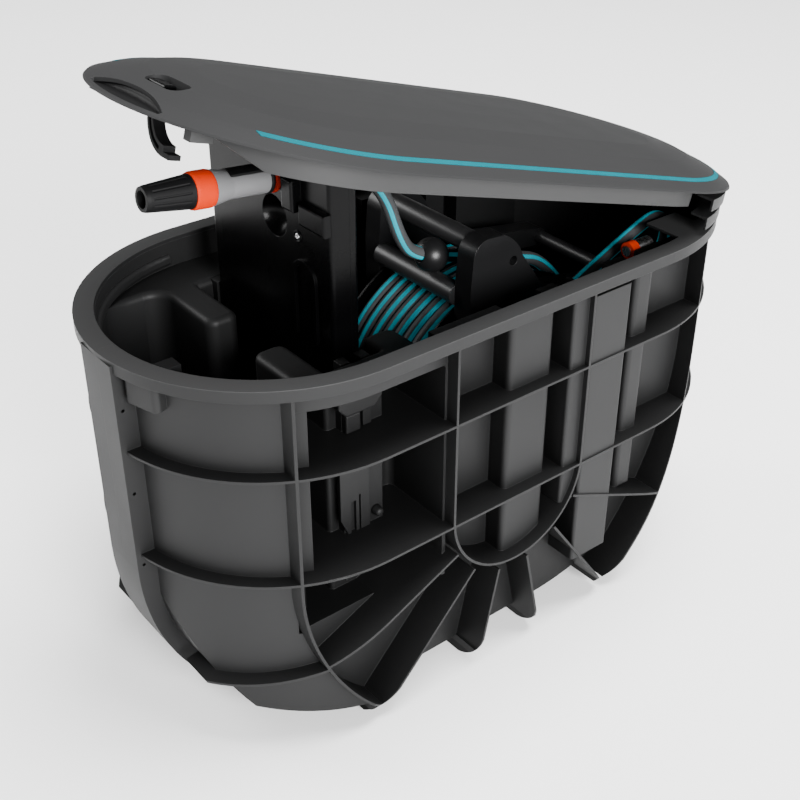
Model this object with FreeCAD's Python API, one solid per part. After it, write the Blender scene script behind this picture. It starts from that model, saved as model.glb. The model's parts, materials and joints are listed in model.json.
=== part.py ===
import FreeCAD, Part
import math
import os

# In-ground hose box: ribbed tub, tipping lid, rising nozzle tower and sprung hose reel.
# X runs along the box with the hinge at +X, Y across it, Z up from the ground under the ribs.

# Tub
rim_top = 487.0
rim_half_length = 425.0
rim_half_width = 213.0
rim_band = 22.7
rim_thickness = 5.0
rim_flange_depth = 14.0
wall = 3.5
wall_setback = 20.0
rib_reach = 17.0
rib_thickness = 3.0
left_bend_radius = 290.0
left_bend_depth = 270.0
keel_start_inset = 210.0
keel_slope = 12.5
keel_end_x = 60.0
floor_depth = 470.0
seam_strip_half_width = 32.0
seam_strip_reach = 19.5
seam_flange = 3.0
right_strip_depth = 70.0
form_slack = 0.5
bead_depth = 26.0
bead_half_height = 7.0
bead_reach = 5.0
bead_end_inset = 190.0
foot_corner = 45.0

# Waist recess on both long sides: places of its steps from the left end, and the half width left at each step
recess_x = (118.5, 157.0, 190.0, 268.0, 304.0)
shoulder_half_width = 145.0
far_ledge_half_width = 39.0
near_ledge_half_width = 52.0
guide_half_width = 131.0
rear_ledge_half_width = 97.0
shoulder_corner = 12.0
ledge_sweep = 26.0
ledge_corner = 9.0
guide_corner = 5.0
ledge_top_radius = 4.5
recess_top_depth = 39.5
recess_bottom_depth = 330.0

# Ribs
ring_rib_depths = (110.5, 247.4)
waist_rib_x = -310.0
waist_bend_x = -31.0
waist_bend_depth = 262.0
end_rib_x = 303.0
end_bend_x = -117.0
end_bend_depth = 160.0
loop_rib_centre_x = -16.0
loop_rib_depth = 240.0
loop_rib_radius = 101.0
ray_ends = ((-110.0, 291.0, -287.0, 372.0), (-83.0, 326.0, -232.0, 487.0), (-43.0, 347.0, -72.0, 487.0),
            (3.0, 349.0, 34.0, 487.0), (48.0, 327.0, 157.0, 478.0), (77.0, 292.0, 247.0, 367.0),
            (-286.0, 376.0, -430.0, 405.0))
foot_rib_x = (-226.0, -70.0, 32.0, 150.0)

# Sunk panels on the long sides, and the columns left standing in them as (start, end, reach, bottom depth)
panel_half_width = 165.0
panel_start_x = -116.2
panel_end_x = 330.0
panel_top_depth = 17.0
panel_low_depth = 326.0
column_corner = 7.0
columns = ((-27.0, 40.0, 0.0, 345.0), (60.0, 88.0, 10.0, 300.0), (86.0, 148.0, 15.0, 400.0), (172.0, 203.0, 0.0, 338.0))

# Hand holds under the rim and drain slots in the floor
hold_angle = 16.5
hold_width = 46.0
hold_reach = 13.0
hold_top_depth = 19.0
hold_drop = 27.0
slot_length = 26.0
slot_width = 2.6
slot_pitch = 9.0
slot_row_x = (-170.0, 95.0)
slot_row_y = 146.0
slots_in_row = 5

# Shared fits and fasteners
running_gap = 0.05
seat_gap = 0.02
moving_gap = 0.6
screw_radius = 2.0
screw_head_radius = 4.0
screw_head_height = 2.6

# Hinge at the +X end
hinge_inset = 81.0
hinge_depth = 25.0
pin_radius = 4.0
pin_half_length = 68.0
arm_span = (10.0, 22.0)
inner_ear_span = (26.0, 34.0)
upper_ear_span = (38.0, 44.0)
lower_ear_span = (48.0, 54.0)
outer_ear_span = (58.0, 66.0)
ear_radius = 10.0
pad_face_inset = 41.0
pad_half_width = 66.0
pad_top_depth = 12.0
pad_bottom_depth = 60.0
deck_inset = (177.0, 125.0)
deck_thickness = 4.0
deck_width = 77.0

# Lid
rest_opening = 16.8
lip_height = 31.5
lid_skin = 3.0
lid_rings = ((0.0, 0.0), (1.5, 2.4), (17.0, 9.0), (24.0, 11.6), (61.0, 21.5), (110.0, 26.5), (185.0, 28.0))
stripe_inset = 17.4
stripe_width = 6.2
skirt_inset = 26.0
skirt_wall = 3.0
skirt_drop = 24.0
skirt_end_inset = (46.0, 175.0)
skirt_ramp = 44.0
lug_inset = (33.0, 57.0)
lug_y = (86.0, 98.0)
lug_drop = 12.0
stripe_start_inset = 77.0
stripe_groove = 1.2
stripe_proud = 0.4
cross_rib_x = (-150.0, 30.0, 200.0)
cross_rib_drop = 3.0
boss_reach = (58.0, 6.0)
boss_half_width = 30.0
boss_face = 8.0
leaf_thickness = 4.0
mouth_half_width = 66.0
mouth_lip = 5.0
mouth_end = 4.0
mouth_inset = 31.0
dish_inset = 61.0
dish_half_length = 30.0
dish_half_width = 13.0
dish_floor = 6.0
latch_travel = 10.0
knob_height = 13.0
knob_groove_y = (0.0, 6.0, 12.0, 18.0)
hook_depth = 8.5
hook_offset = 22.0
hook_width = 13.0
hook_thickness = 11.0
hook_tip = 12.0
tip_height = 5.0
hook_y = -46.0

# Hinge covers
cover_start_inset = 155.0
cover_plate = 14.7
cover_gap = 0.7
cover_taper = 7.0
cover_band = 24.0
cover_slot_half_width = 36.0
cover_wall = 3.0

# Tower
tower_inset = 215.0
tower_depth = 35.0
tower_side_gap = 15.4
tower_top = 188.0
tower_bottom = 262.0
tower_wall = 3.0
rail_start = 10.0
rail_gap_width = 14.0
rail_width = 12.0
rail_face_gap = 0.8
lift_per_degree = 8.33

# Nozzle on the tower
nozzle_y = -20.0
nozzle_tail_height = 139.0
nozzle_tilt = 5.5
ring_start = 79.0
ring_end = 102.0
tip_end = 154.0
core_pin = 9.0

# Reel
drum_x = 75.0
drum_depth = 215.0
hose_radius = 8.0
hose_pitch = 16.8
hose_loops = 6.5
core_radius = 148.0
flange_radius = 170.0
flange_inner_half = 66.0
flange_thickness = 3.0
hub_radius = 24.0
axle_radius = 10.0
cheek_inner = 72.0
cheek_outer = 100.0
bar_radius = 13.5
upper_bar = (-55.0, 232.0)
lower_bar = (-75.0, 171.0)
handle_bar = (199.0, 115.0)
handle_radius = 9.0
stop_ball_offset = (-79.4, -28.0, 207.0)
stop_ball_radius = 21.0

# Water supply
inlet_y = 70.0
inlet_depth = 180.0
inlet_boss_reach = 9.0
spigot_radius = 13.2
spigot_tail_radius = 12.4
spigot_tail = 18.0
spigot_neck = 3.0
spigot_bore = 9.0
nut_thickness = 8.0
elbow_inset = 65.0
tap_wall_gap = 13.5

V = FreeCAD.Vector
os.makedirs("parts", exist_ok=True)


def level(depth):
    """Height of a point that lies this far below the rim."""
    return rim_top - depth


def box(x0, x1, y0, y1, z0, z1):
    return Part.makeBox(x1 - x0, y1 - y0, z1 - z0, V(x0, y0, z0))


def rod(start, end, radius):
    way = V(*end).sub(V(*start))
    return Part.makeCylinder(radius, way.Length, V(*start), way)


def outline(steps, place):
    """Closed wire of lines and three-point arcs; an arc step holds its middle and its end."""
    edges = []
    last = place(*steps[0])
    for step in steps[1:] + steps[:1]:
        if isinstance(step[0], tuple):
            end = place(*step[1])
            edges.append(Part.Arc(last, place(*step[0]), end).toShape())
        else:
            end = place(*step)
            if end.distanceToPoint(last) > 1e-6:
                edges.append(Part.makeLine(last, end))
        last = end
    return Part.Wire(edges)


def slab_xz(steps, y0, y1):
    wire = outline(steps, lambda x, z: V(x, y0, z))
    return Part.Face(wire).extrude(V(0, y1 - y0, 0))


def slab_yz(steps, x0, x1):
    wire = outline(steps, lambda y, z: V(x0, y, z))
    return Part.Face(wire).extrude(V(x1 - x0, 0, 0))


def slab_xy(steps, z0, z1):
    wire = outline(steps, lambda x, y: V(x, y, z0))
    return Part.Face(wire).extrude(V(0, 0, z1 - z0))


def fuse(shapes):
    whole = shapes[0]
    if len(shapes) > 1:
        whole = shapes[0].multiFuse(shapes[1:])
    return whole.removeSplitter()


def mirrored(shape):
    return shape.mirror(V(0, 0, 0), V(0, 1, 0))


def both_sides(shape):
    return [shape, mirrored(shape)]


def stadium_wire(half_length, half_width, z):
    run = half_length - half_width
    steps = [(-run, -half_width), (run, -half_width), ((half_length, 0.0), (run, half_width)), (-run, half_width),
             ((-half_length, 0.0), (-run, -half_width))]
    return outline(steps, lambda x, y: V(x, y, z))


def stadium(half_length, half_width, z0, z1):
    return Part.Face(stadium_wire(half_length, half_width, z0)).extrude(V(0, 0, z1 - z0))


def rounded(shape, radius, chosen):
    edges = [edge for edge in shape.Edges if chosen(edge)]
    return shape.makeFillet(radius, edges)


def soft_outline(corners):
    """Outline steps through corners given as (x, y, radius), with a tangent arc at each rounded corner."""
    steps = []
    count = len(corners)
    for i, (x, y, radius) in enumerate(corners):
        if radius == 0.0:
            steps.append((x, y))
            continue
        here = V(x, y, 0)
        back = V(corners[i - 1][0] - x, corners[i - 1][1] - y, 0)
        ahead = V(corners[(i + 1) % count][0] - x, corners[(i + 1) % count][1] - y, 0)
        back.normalize()
        ahead.normalize()
        half = back.getAngle(ahead) / 2.0
        cut = radius / math.tan(half)
        bisect = back + ahead
        bisect.normalize()
        middle = here + bisect * (radius / math.sin(half) - radius)
        start, end = here + back * cut, here + ahead * cut
        steps.append((start.x, start.y))
        steps.append(((middle.x, middle.y), (end.x, end.y)))
    return steps


def upright(edge):
    ends = [v.Point for v in edge.Vertexes]
    if len(ends) < 2:
        return False
    return abs(ends[0].x - ends[1].x) < 1e-6 and abs(ends[0].y - ends[1].y) < 1e-6


def export(node, shapes):
    solids = []
    for shape in shapes:
        solids.extend(shape.Solids)
    if not all(solid.isValid() for solid in solids):
        raise ValueError(node + " is not valid")
    whole = solids[0]
    if len(solids) > 1:
        whole = Part.makeCompound(solids)
    whole.exportStep("parts/" + node + ".step")
    print(node, len(solids), "solids", round(whole.Volume / 1000.0, 2), "cm3")


def screw(tip, way, length, turn_out=0.0):
    """Pan-head screw whose head seats at the point and whose shank runs along the way."""
    way = V(*way)
    seat = V(*tip)
    shank = Part.makeCylinder(screw_radius, length, seat, way)
    head = Part.makeCylinder(screw_head_radius, screw_head_height, seat, way * -1.0)
    slot_at = seat - way * screw_head_height
    socket = Part.makeCylinder(1.6, 1.4, slot_at, way)
    return shank.fuse(head).cut(socket).removeSplitter()


# Tub of two half shells
skin_half_length = rim_half_length - wall_setback
skin_half_width = rim_half_width - wall_setback
rim_inner_length = rim_half_length - rim_band
rim_inner_width = rim_half_width - rim_band
left_end = -rim_half_length
far_x = rim_half_length + 75.0
span = rim_half_width + 20.0
keel_start_x = left_end + keel_start_inset
left_bend_x = left_bend_radius - skin_half_length
right_bend_radius = skin_half_length - keel_end_x
right_bend_depth = floor_depth - right_bend_radius
hinge_x = rim_half_length - hinge_inset
hinge_z = level(hinge_depth)
pad_face_x = rim_half_length - pad_face_inset
deck_x = (rim_half_length - deck_inset[0], rim_half_length - deck_inset[1])
tower_x = (left_end + tower_inset, left_end + tower_inset + tower_depth)
tower_half_width = guide_half_width - tower_side_gap
rail_x = (tower_x[0] + rail_start, tower_x[0] + rail_start + rail_gap_width)
rail_face = tower_half_width + rail_face_gap


def tub_side(grow, top):
    """Side view of the tub, grown outwards from its outer skin."""
    slope = math.radians(keel_slope)
    keel = (keel_start_x - grow * math.tan(slope / 2.0), level(floor_depth) - grow)
    radius = left_bend_radius + grow
    centre = (left_bend_x, level(left_bend_depth))
    dx, dz = keel[0] - centre[0], keel[1] - centre[1]
    along = -dx * math.cos(slope) + dz * math.sin(slope)
    run = -along + math.sqrt(along * along - (dx * dx + dz * dz - radius * radius))
    meet = (keel[0] - run * math.cos(slope), keel[1] + run * math.sin(slope))
    middle = (math.pi + math.atan2(centre[1] - meet[1], centre[0] - meet[0]) + math.pi) / 2.0
    bend = (centre[0] + radius * math.cos(middle), centre[1] + radius * math.sin(middle))
    side = skin_half_length + grow + form_slack
    turn = (right_bend_radius + grow) * math.sqrt(0.5)
    right = (keel_end_x + turn, level(right_bend_depth) - turn)
    return [(-side, top), (-side, centre[1]), (bend, meet), keel, (keel_end_x, keel[1]),
            (right, (side, level(right_bend_depth))), (side, top)]


def recess_plan(ledge):
    """Plan of the waist recess on the far side, with its ledge at this half width."""
    a, b, c, d, e = [left_end + x for x in recess_x]
    return soft_outline([(a, span, 0.0), (a, shoulder_half_width, shoulder_corner), (b, shoulder_half_width, ledge_sweep),
                         (b, ledge, ledge_corner), (c, ledge, ledge_corner), (c, guide_half_width, guide_corner),
                         (d, guide_half_width, guide_corner), (d, rear_ledge_half_width, ledge_corner),
                         (e, rear_ledge_half_width, ledge_corner), (e, span, 0.0)])


def recess_side(ledge, grow):
    """One waist recess, grown into the tub, with its top edge rounded."""
    low, top = level(recess_bottom_depth) - grow, level(recess_top_depth) + grow
    plan = Part.Face(outline(recess_plan(ledge), lambda x, y: V(x, y, low)))
    if grow > 0.0:
        plan = plan.makeOffset2D(grow)
    block = plan.extrude(V(0, 0, top - low))
    return rounded(block, ledge_top_radius + grow, lambda e: e.BoundBox.ZMin > top - 0.1 and e.BoundBox.YMin < span - 1.0)


def recess(grow):
    return recess_side(far_ledge_half_width, grow).fuse(mirrored(recess_side(near_ledge_half_width, grow)))


def column_side(start, end, bottom, grow):
    """One column of the far side, with its front edges rounded."""
    front = skin_half_width - grow
    block = box(start + grow, end - grow, 60.0, front, level(bottom) + grow, rim_top)
    return rounded(block, column_corner - grow, lambda e: e.BoundBox.YMin > front - 0.1 and e.BoundBox.ZMin < rim_top - 1.0)


def panels(grow):
    """Room outside the sunk panels of both long sides, grown into the tub."""
    face = panel_half_width - grow
    room = box(panel_start_x - grow, panel_end_x + grow, face, span, -60.0, level(panel_top_depth) + grow)
    for start, end, reach, bottom in columns:
        room = room.cut(column_side(start, end, bottom, grow))
    turn = waist_bend_x - waist_rib_x - half_rib + grow
    corner = rod((waist_bend_x, face, level(waist_bend_depth)), (waist_bend_x, span, level(waist_bend_depth)), turn)
    low = box(-far_x, panel_start_x, face, span, -60.0, level(panel_low_depth) + grow)
    return fuse(both_sides(room.fuse(corner.common(low))))


def tub_form(grow, top):
    plan = stadium(skin_half_length + grow, skin_half_width + grow, -60.0, top)
    return plan.common(slab_xz(tub_side(grow, top), -span, span))


under_rim = rim_top - rim_thickness
half_rib = rib_thickness / 2.0
outer = tub_form(0.0, under_rim).cut(recess(0.0)).cut(panels(0.0))
cavity = tub_form(-wall, rim_top + 1.0).cut(recess(wall)).cut(panels(wall))
foot_half = skin_half_width + rib_reach + form_slack
foot_low = level(floor_depth) - rib_reach - form_slack
foot_turn = foot_corner * (1.0 - math.sqrt(0.5))
foot_form = slab_yz([(-foot_half, rim_top), (-foot_half, foot_low + foot_corner),
                     ((foot_turn - foot_half, foot_low + foot_turn), (foot_corner - foot_half, foot_low)),
                     (foot_half - foot_corner, foot_low),
                     ((foot_half - foot_turn, foot_low + foot_turn), (foot_half, foot_low + foot_corner)),
                     (foot_half, rim_top)], -far_x, far_x)
rib_room = tub_form(rib_reach, under_rim).common(foot_form).cut(cavity)
ribs = [box(-far_x, far_x, -span, span, level(d) - half_rib, level(d) + half_rib) for d in ring_rib_depths]
outside = box(-far_x, far_x, -span, span, -60.0, rim_top).cut(box(-far_x, far_x, -60.0, 60.0, -60.0, rim_top))


def bent_rib(x, centre_x, depth, stop_angle):
    """Upright rib that turns inwards round a centre lower down the side of the tub."""
    way = math.copysign(1.0, x - centre_x)
    wide, slim = abs(x - centre_x) + half_rib, abs(x - centre_x) - half_rib
    z = level(depth)
    half, full = math.radians(stop_angle / 2.0), math.radians(stop_angle)

    def turned(radius, angle):
        return (centre_x + way * radius * math.cos(angle), z - radius * math.sin(angle))

    steps = [(centre_x + way * wide, rim_top), turned(wide, 0.0), (turned(wide, half), turned(wide, full)),
             turned(slim, full), (turned(slim, half), turned(slim, 0.0)), (centre_x + way * slim, rim_top)]
    return slab_xz(steps, -span, span)


ribs.append(bent_rib(waist_rib_x, waist_bend_x, waist_bend_depth, 62.0).common(outside))
ribs.append(bent_rib(end_rib_x, end_bend_x, end_bend_depth, 54.0).common(outside))
loop_z = level(loop_rib_depth)
loop_out, loop_in = loop_rib_radius + half_rib, loop_rib_radius - half_rib
loop = [(loop_rib_centre_x - loop_out, rim_top), (loop_rib_centre_x - loop_out, loop_z),
        ((loop_rib_centre_x, loop_z - loop_out), (loop_rib_centre_x + loop_out, loop_z)),
        (loop_rib_centre_x + loop_out, rim_top), (loop_rib_centre_x + loop_in, rim_top),
        (loop_rib_centre_x + loop_in, loop_z),
        ((loop_rib_centre_x, loop_z - loop_in), (loop_rib_centre_x - loop_in, loop_z)),
        (loop_rib_centre_x - loop_in, rim_top)]
ribs.append(slab_xz(loop, -span, span).common(outside))
for x0, d0, x1, d1 in ray_ends:
    way = V(x1 - x0, 0.0, d0 - d1)
    side = V(way.z, 0.0, -way.x)
    side.normalize()
    side = side * half_rib
    corners = [(x0 + side.x, level(d0) + side.z), (x1 + side.x, level(d1) + side.z),
               (x1 - side.x, level(d1) - side.z), (x0 - side.x, level(d0) - side.z)]
    ribs.append(slab_xz(corners, -span, span).common(outside))
ribs.extend(box(x - half_rib, x + half_rib, -span, span, -1.0, level(floor_depth) + wall) for x in foot_rib_x)
ribs.append(box(-far_x, far_x, -seam_flange, seam_flange, -1.0, level(right_strip_depth)))
ribs = [rib.common(rib_room) for rib in ribs]

for x0, x1, reach, bottom in [column for column in columns if column[2] > 0.0]:
    room = stadium(skin_half_length + reach, skin_half_width + reach, level(bottom), under_rim - 16.0).cut(cavity)
    for side in both_sides(box(x0, x1, 100.0, span, level(bottom), under_rim)):
        ribs.append(rounded(side.common(room), 4.0, lambda e: upright(e) and abs(e.Vertexes[0].Y) > skin_half_width))

strip_reach = seam_strip_reach
strip_room = slab_xz(tub_side(strip_reach, under_rim), -seam_strip_half_width, seam_strip_half_width)
strip_core = slab_xz(tub_side(strip_reach - wall, under_rim - wall), -span, span)
strip_hollow = both_sides(strip_core.common(box(-far_x, far_x, seam_flange, seam_strip_half_width - wall, -60.0, rim_top)))
strip = strip_room.cut(fuse(strip_hollow)).cut(cavity)
left_strip = strip.common(box(-far_x, left_end + 95.0, -span, span, 12.0, under_rim))
right_strip = strip.common(box(keel_end_x + 120.0, far_x, -span, span, 12.0, level(right_strip_depth)))

rim = stadium(rim_half_length, rim_half_width, under_rim, rim_top)
flange = stadium(rim_half_length, rim_half_width, level(rim_flange_depth), under_rim)
flange = flange.cut(stadium(rim_half_length - wall, rim_half_width - wall, level(rim_flange_depth), under_rim))
rim = rim.fuse(flange).cut(stadium(rim_inner_length, rim_inner_width, level(rim_flange_depth), rim_top))

holds = []
for angle in (180.0 - hold_angle, 180.0 + hold_angle):
    hold = box(skin_half_width - 20.0, skin_half_width + hold_reach, -hold_width / 2.0, hold_width / 2.0,
               level(hold_top_depth + hold_drop), level(hold_top_depth))
    hold = rounded(hold, 7.0, lambda e: upright(e) and e.Vertexes[0].X > skin_half_width)
    hold = hold.cut(box(skin_half_width, skin_half_width + hold_reach - wall, wall - hold_width / 2.0, hold_width / 2.0 - wall,
                        level(hold_top_depth + hold_drop) + wall, level(hold_top_depth)))
    hold.rotate(V(0, 0, 0), V(0, 0, 1), angle)
    hold.translate(V(skin_half_width - skin_half_length, 0, 0))
    holds.append(hold.cut(cavity))

deck_room = stadium(rim_inner_length + 1.0, rim_inner_width + 1.0, rim_top - deck_thickness, rim_top)
deck = box(deck_x[0], deck_x[1], rim_half_width - deck_width, span, rim_top - deck_thickness, rim_top).common(deck_room)
decks = both_sides(deck)
pad = box(pad_face_x, skin_half_length, -pad_half_width, pad_half_width, level(pad_bottom_depth), level(pad_top_depth))
pad = pad.common(tub_form(-1.0, rim_top))
rail_top = level(recess_top_depth - wall)
rails = []
for x0, x1 in ((rail_x[0] - rail_width, rail_x[0]), (rail_x[1], rail_x[1] + rail_width)):
    rails.extend(both_sides(box(x0, x1, rail_face, guide_half_width - 1.0, level(recess_bottom_depth), rail_top)))
guides = both_sides(box(tower_x[0] - 12.0, tower_x[1] + 7.0, guide_half_width - 1.0, guide_half_width + 11.0,
                        level(315.0), level(58.0)))
bead_z = level(bead_depth)
bead_inner = (skin_half_length - wall - bead_reach, skin_half_width - wall - bead_reach)
bead = stadium(skin_half_length - 1.0, skin_half_width - 1.0, bead_z - bead_half_height, bead_z + bead_half_height)
bead = bead.cut(stadium(bead_inner[0], bead_inner[1], bead_z - bead_half_height, bead_z + bead_half_height))
bead = bead.common(box(-far_x, left_end + bead_end_inset, -span, span, 0.0, rim_top))
bead = rounded(bead, bead_reach - 0.5, lambda e: e.BoundBox.ZLength < 1e-6 and e.BoundBox.YLength > 10.0
               and e.BoundBox.XMin > -bead_inner[0] - 0.1 and e.BoundBox.YMax < bead_inner[1] + 0.1)
boss = rod((skin_half_length - wall - 6.0, inlet_y, level(inlet_depth)),
           (skin_half_length + inlet_boss_reach, inlet_y, level(inlet_depth)), spigot_radius + 12.0)
boss_foot = box(skin_half_length - 45.0, skin_half_length + inlet_boss_reach, inlet_y - 18.0, inlet_y + 18.0,
                level(inlet_depth + 18.0), level(inlet_depth - 18.0))
boss = boss.fuse(boss_foot.common(tub_form(inlet_boss_reach, rim_top).cut(tub_form(-wall - 6.0, rim_top))))
tub = fuse([outer.cut(cavity), rim, pad, boss, bead, left_strip, right_strip] + ribs + holds + decks + rails + guides)

slots = []
for start in slot_row_x:
    for i in range(slots_in_row):
        x = start + i * slot_pitch
        for side in (-1.0, 1.0):
            middle = side * slot_row_y
            slots.append(box(x, x + slot_width, middle - slot_length / 2.0, middle + slot_length / 2.0,
                             level(floor_depth) - 1.0, level(floor_depth) + wall + 1.0))
inlet_hole = rod((rim_half_length - elbow_inset, inlet_y, level(inlet_depth)), (far_x, inlet_y, level(inlet_depth)),
                 spigot_radius + running_gap)
tub = tub.cut(fuse(slots)).cut(inlet_hole)

seam_screw_at = [(-skin_half_length - 12.0, level(d)) for d in (60.0, 165.0, 262.0)]
seam_screw_at += [(skin_half_length + 8.0, level(ring_rib_depths[0] + 22.0))]
seam_screw_at += [(x, level(floor_depth) - 9.0) for x in (-150.0, -20.0, 90.0)]
seam_screws = []
screw_holes = []
for x, z in seam_screw_at:
    screw_holes.append(rod((x, -40.0, z), (x, 40.0, z), screw_radius + running_gap))
    seam_screws.append(screw((x, -seam_flange, z), (0, 1, 0), 2.0 * seam_flange + 6.0))
tub = tub.cut(fuse(screw_holes))
pad_screw_at = [(y, level(d)) for y in (-46.0, 46.0) for d in (26.0, 48.0)]
pad_holes = [rod((pad_face_x - 14.0, y, z), (pad_face_x + 19.0, y, z), screw_radius + running_gap) for y, z in pad_screw_at]
tub = tub.cut(fuse(pad_holes))
near_half = tub.common(box(-far_x, far_x, -span, 0.0, -10.0, rim_top + 10.0))
far_half = tub.common(box(-far_x, far_x, 0.0, span, -10.0, rim_top + 10.0))
export("tub_near_half", [near_half])
export("tub_far_half", [far_half])
export("seam_screws", seam_screws)


# Hinge bracket, pin and screws
def turned(shape, degrees):
    """Swing a shape made in the closed position about the hinge."""
    copy = shape.copy()
    copy.rotate(V(hinge_x, 0, hinge_z), V(0, 1, 0), degrees)
    return copy


def knuckle(y0, y1, steps, hole):
    """Ear between two values of Y with a round eye on the hinge pin."""
    ear = slab_xz(steps, y0, y1).fuse(rod((hinge_x, y0, hinge_z), (hinge_x, y1, hinge_z), ear_radius))
    return ear.cut(rod((hinge_x, y0 - 1.0, hinge_z), (hinge_x, y1 + 1.0, hinge_z), pin_radius + hole)).removeSplitter()


plate_x = pad_face_x - 4.0
ear_steps = [(hinge_x, hinge_z - ear_radius), (plate_x, level(pad_bottom_depth) + 4.0),
             (plate_x, level(pad_top_depth) - 2.0), (hinge_x, hinge_z + ear_radius)]
bracket = [box(plate_x, pad_face_x, -pad_half_width, pad_half_width, level(pad_bottom_depth), level(pad_top_depth))]
for low, high in (inner_ear_span, outer_ear_span):
    bracket.extend(both_sides(knuckle(low, high, ear_steps, seat_gap)))
bracket = fuse(bracket).cut(fuse(pad_holes))
export("hinge_bracket", [bracket])
export("hinge_bracket_screws", [screw((plate_x, y, z), (1, 0, 0), 14.0) for y, z in pad_screw_at])
pin = rod((hinge_x, -outer_ear_span[1], hinge_z), (hinge_x, pin_half_length, hinge_z), pin_radius)
pin_head = rod((hinge_x, -pin_half_length, hinge_z), (hinge_x, -outer_ear_span[1], hinge_z), pin_radius + 2.5)
export("hinge_pin", [pin.fuse(pin_head).removeSplitter()])

# Lid, made closed and then swung to the resting opening
lip_z = rim_top + lip_height
boss_x = (hinge_x - boss_reach[0], hinge_x - boss_reach[1])
dish_x = left_end + dish_inset
skirt_x = (left_end + skirt_end_inset[0], rim_half_length - skirt_end_inset[1])


def dome(inset, drop):
    """Solid under the lid's top surface, taken in and lowered."""
    wires = [stadium_wire(rim_half_length - i - inset, rim_half_width - i - inset, lip_z + h - drop) for i, h in lid_rings]
    return Part.makeLoft(wires, True, True)


lid_outer = dome(0.0, 0.0)
lid_inner = dome(lid_skin, lid_skin)
lid_room = lid_inner.fuse(stadium(rim_half_length - lid_skin, rim_half_width - lid_skin, lip_z - 60.0, lip_z - lid_skin))
lid_room = lid_room.removeSplitter()
boss_block = box(boss_x[0], boss_x[1], -boss_half_width, boss_half_width, lip_z + boss_face, lip_z + 40.0)
shell = lid_outer.cut(lid_inner).fuse(boss_block.common(lid_outer))


def tail_cut(height):
    """Wedge below a plane that rises towards the hinge end, for room between layers that fan out."""
    reach = rim_half_length + 60.0 - hinge_x
    rise = reach * math.tan(math.radians(cover_taper))
    return slab_xz([(hinge_x, height - 80.0), (hinge_x + reach, height - 80.0), (hinge_x + reach, height + rise),
                    (hinge_x, height)], -span, span)


shell = shell.cut(tail_cut(lip_z))
mouth_round = rim_half_width - mouth_lip
mouth_end_x = rim_half_width - rim_half_length - math.sqrt(mouth_round ** 2 - mouth_half_width ** 2) + mouth_end
mouth = slab_xy([(-far_x, -mouth_half_width), (mouth_end_x, -mouth_half_width),
                 ((left_end + mouth_inset, 0.0), (mouth_end_x, mouth_half_width)), (-far_x, mouth_half_width)],
                lip_z - 1.0, lip_z + 40.0)
shell = shell.cut(mouth.common(stadium(rim_half_length - mouth_lip, mouth_round, lip_z - 1.0, lip_z + 40.0)))
dish_steps = [(dish_x - dish_half_width, -dish_half_length + dish_half_width),
              ((dish_x, -dish_half_length), (dish_x + dish_half_width, -dish_half_length + dish_half_width)),
              (dish_x + dish_half_width, dish_half_length - dish_half_width),
              ((dish_x, dish_half_length), (dish_x - dish_half_width, dish_half_length - dish_half_width))]
dish_cup = [(dish_x - dish_half_width - 3.0, -dish_half_length + dish_half_width),
            ((dish_x, -dish_half_length - 3.0), (dish_x + dish_half_width + 3.0, -dish_half_length + dish_half_width)),
            (dish_x + dish_half_width + 3.0, dish_half_length - dish_half_width),
            ((dish_x, dish_half_length + 3.0), (dish_x - dish_half_width - 3.0, dish_half_length - dish_half_width))]
dish_z = lip_z + dish_floor
shell = shell.fuse(slab_xy(dish_cup, dish_z - 3.0, lip_z + 40.0).common(lid_outer))
shell = shell.cut(slab_xy(dish_steps, dish_z, lip_z + 60.0))
knob_y = (-6.0, 24.0)
stem_y = (8.0, 24.0)
stem_half = 4.0
stem_slot = box(dish_x - stem_half - moving_gap, dish_x + stem_half + moving_gap, stem_y[0] - latch_travel - moving_gap,
                stem_y[1] + moving_gap, dish_z - 10.0, dish_z + 1.0)
shell = shell.cut(stem_slot)


def stripe_ring(spare):
    """Ring of the trim line above the floor of its groove."""
    inset, width = stripe_inset - spare, stripe_width + 2.0 * spare
    ring = stadium(rim_half_length - inset, rim_half_width - inset, lip_z + 1.0, lip_z + 40.0)
    ring = ring.cut(stadium(rim_half_length - inset - width, rim_half_width - inset - width, lip_z + 1.0, lip_z + 40.0))
    ring = ring.common(box(left_end + stripe_start_inset - spare, rim_half_length, -span, span, lip_z + 1.0, lip_z + 40.0))
    return ring.cut(dome(0.0, stripe_groove))


groove = stripe_ring(seat_gap)
stripe = stripe_ring(0.0).common(dome(0.0, -stripe_proud))
shell = shell.cut(groove).removeSplitter()

skirt = stadium(rim_half_length - skirt_inset, rim_half_width - skirt_inset, lip_z - skirt_drop, lip_z + 40.0)
skirt = skirt.cut(stadium(rim_half_length - skirt_inset - skirt_wall, rim_half_width - skirt_inset - skirt_wall,
                          lip_z - skirt_drop, lip_z + 40.0))
ramp = slab_xz([(skirt_x[0] - 60.0, lip_z - 60.0), (skirt_x[0] + skirt_ramp, lip_z - 60.0),
                (skirt_x[0] + skirt_ramp, lip_z - skirt_drop), (skirt_x[0], lip_z), (skirt_x[0] - 60.0, lip_z)], -span, span)
frame = [skirt.common(box(skirt_x[0], skirt_x[1], -span, span, lip_z - 60.0, lip_z + 60.0)).cut(ramp)]
frame.extend(both_sides(box(left_end + lug_inset[0], left_end + lug_inset[1], lug_y[0], lug_y[1], lip_z - lug_drop,
                            lip_z + 40.0)))
skirt_y = rim_half_width - skirt_inset - skirt_wall / 2.0
frame.extend(box(x - 1.5, x + 1.5, -skirt_y, skirt_y, lip_z + cross_rib_drop, lip_z + 40.0) for x in cross_rib_x)
frame = fuse([piece.common(lid_room) for piece in frame])

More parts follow.
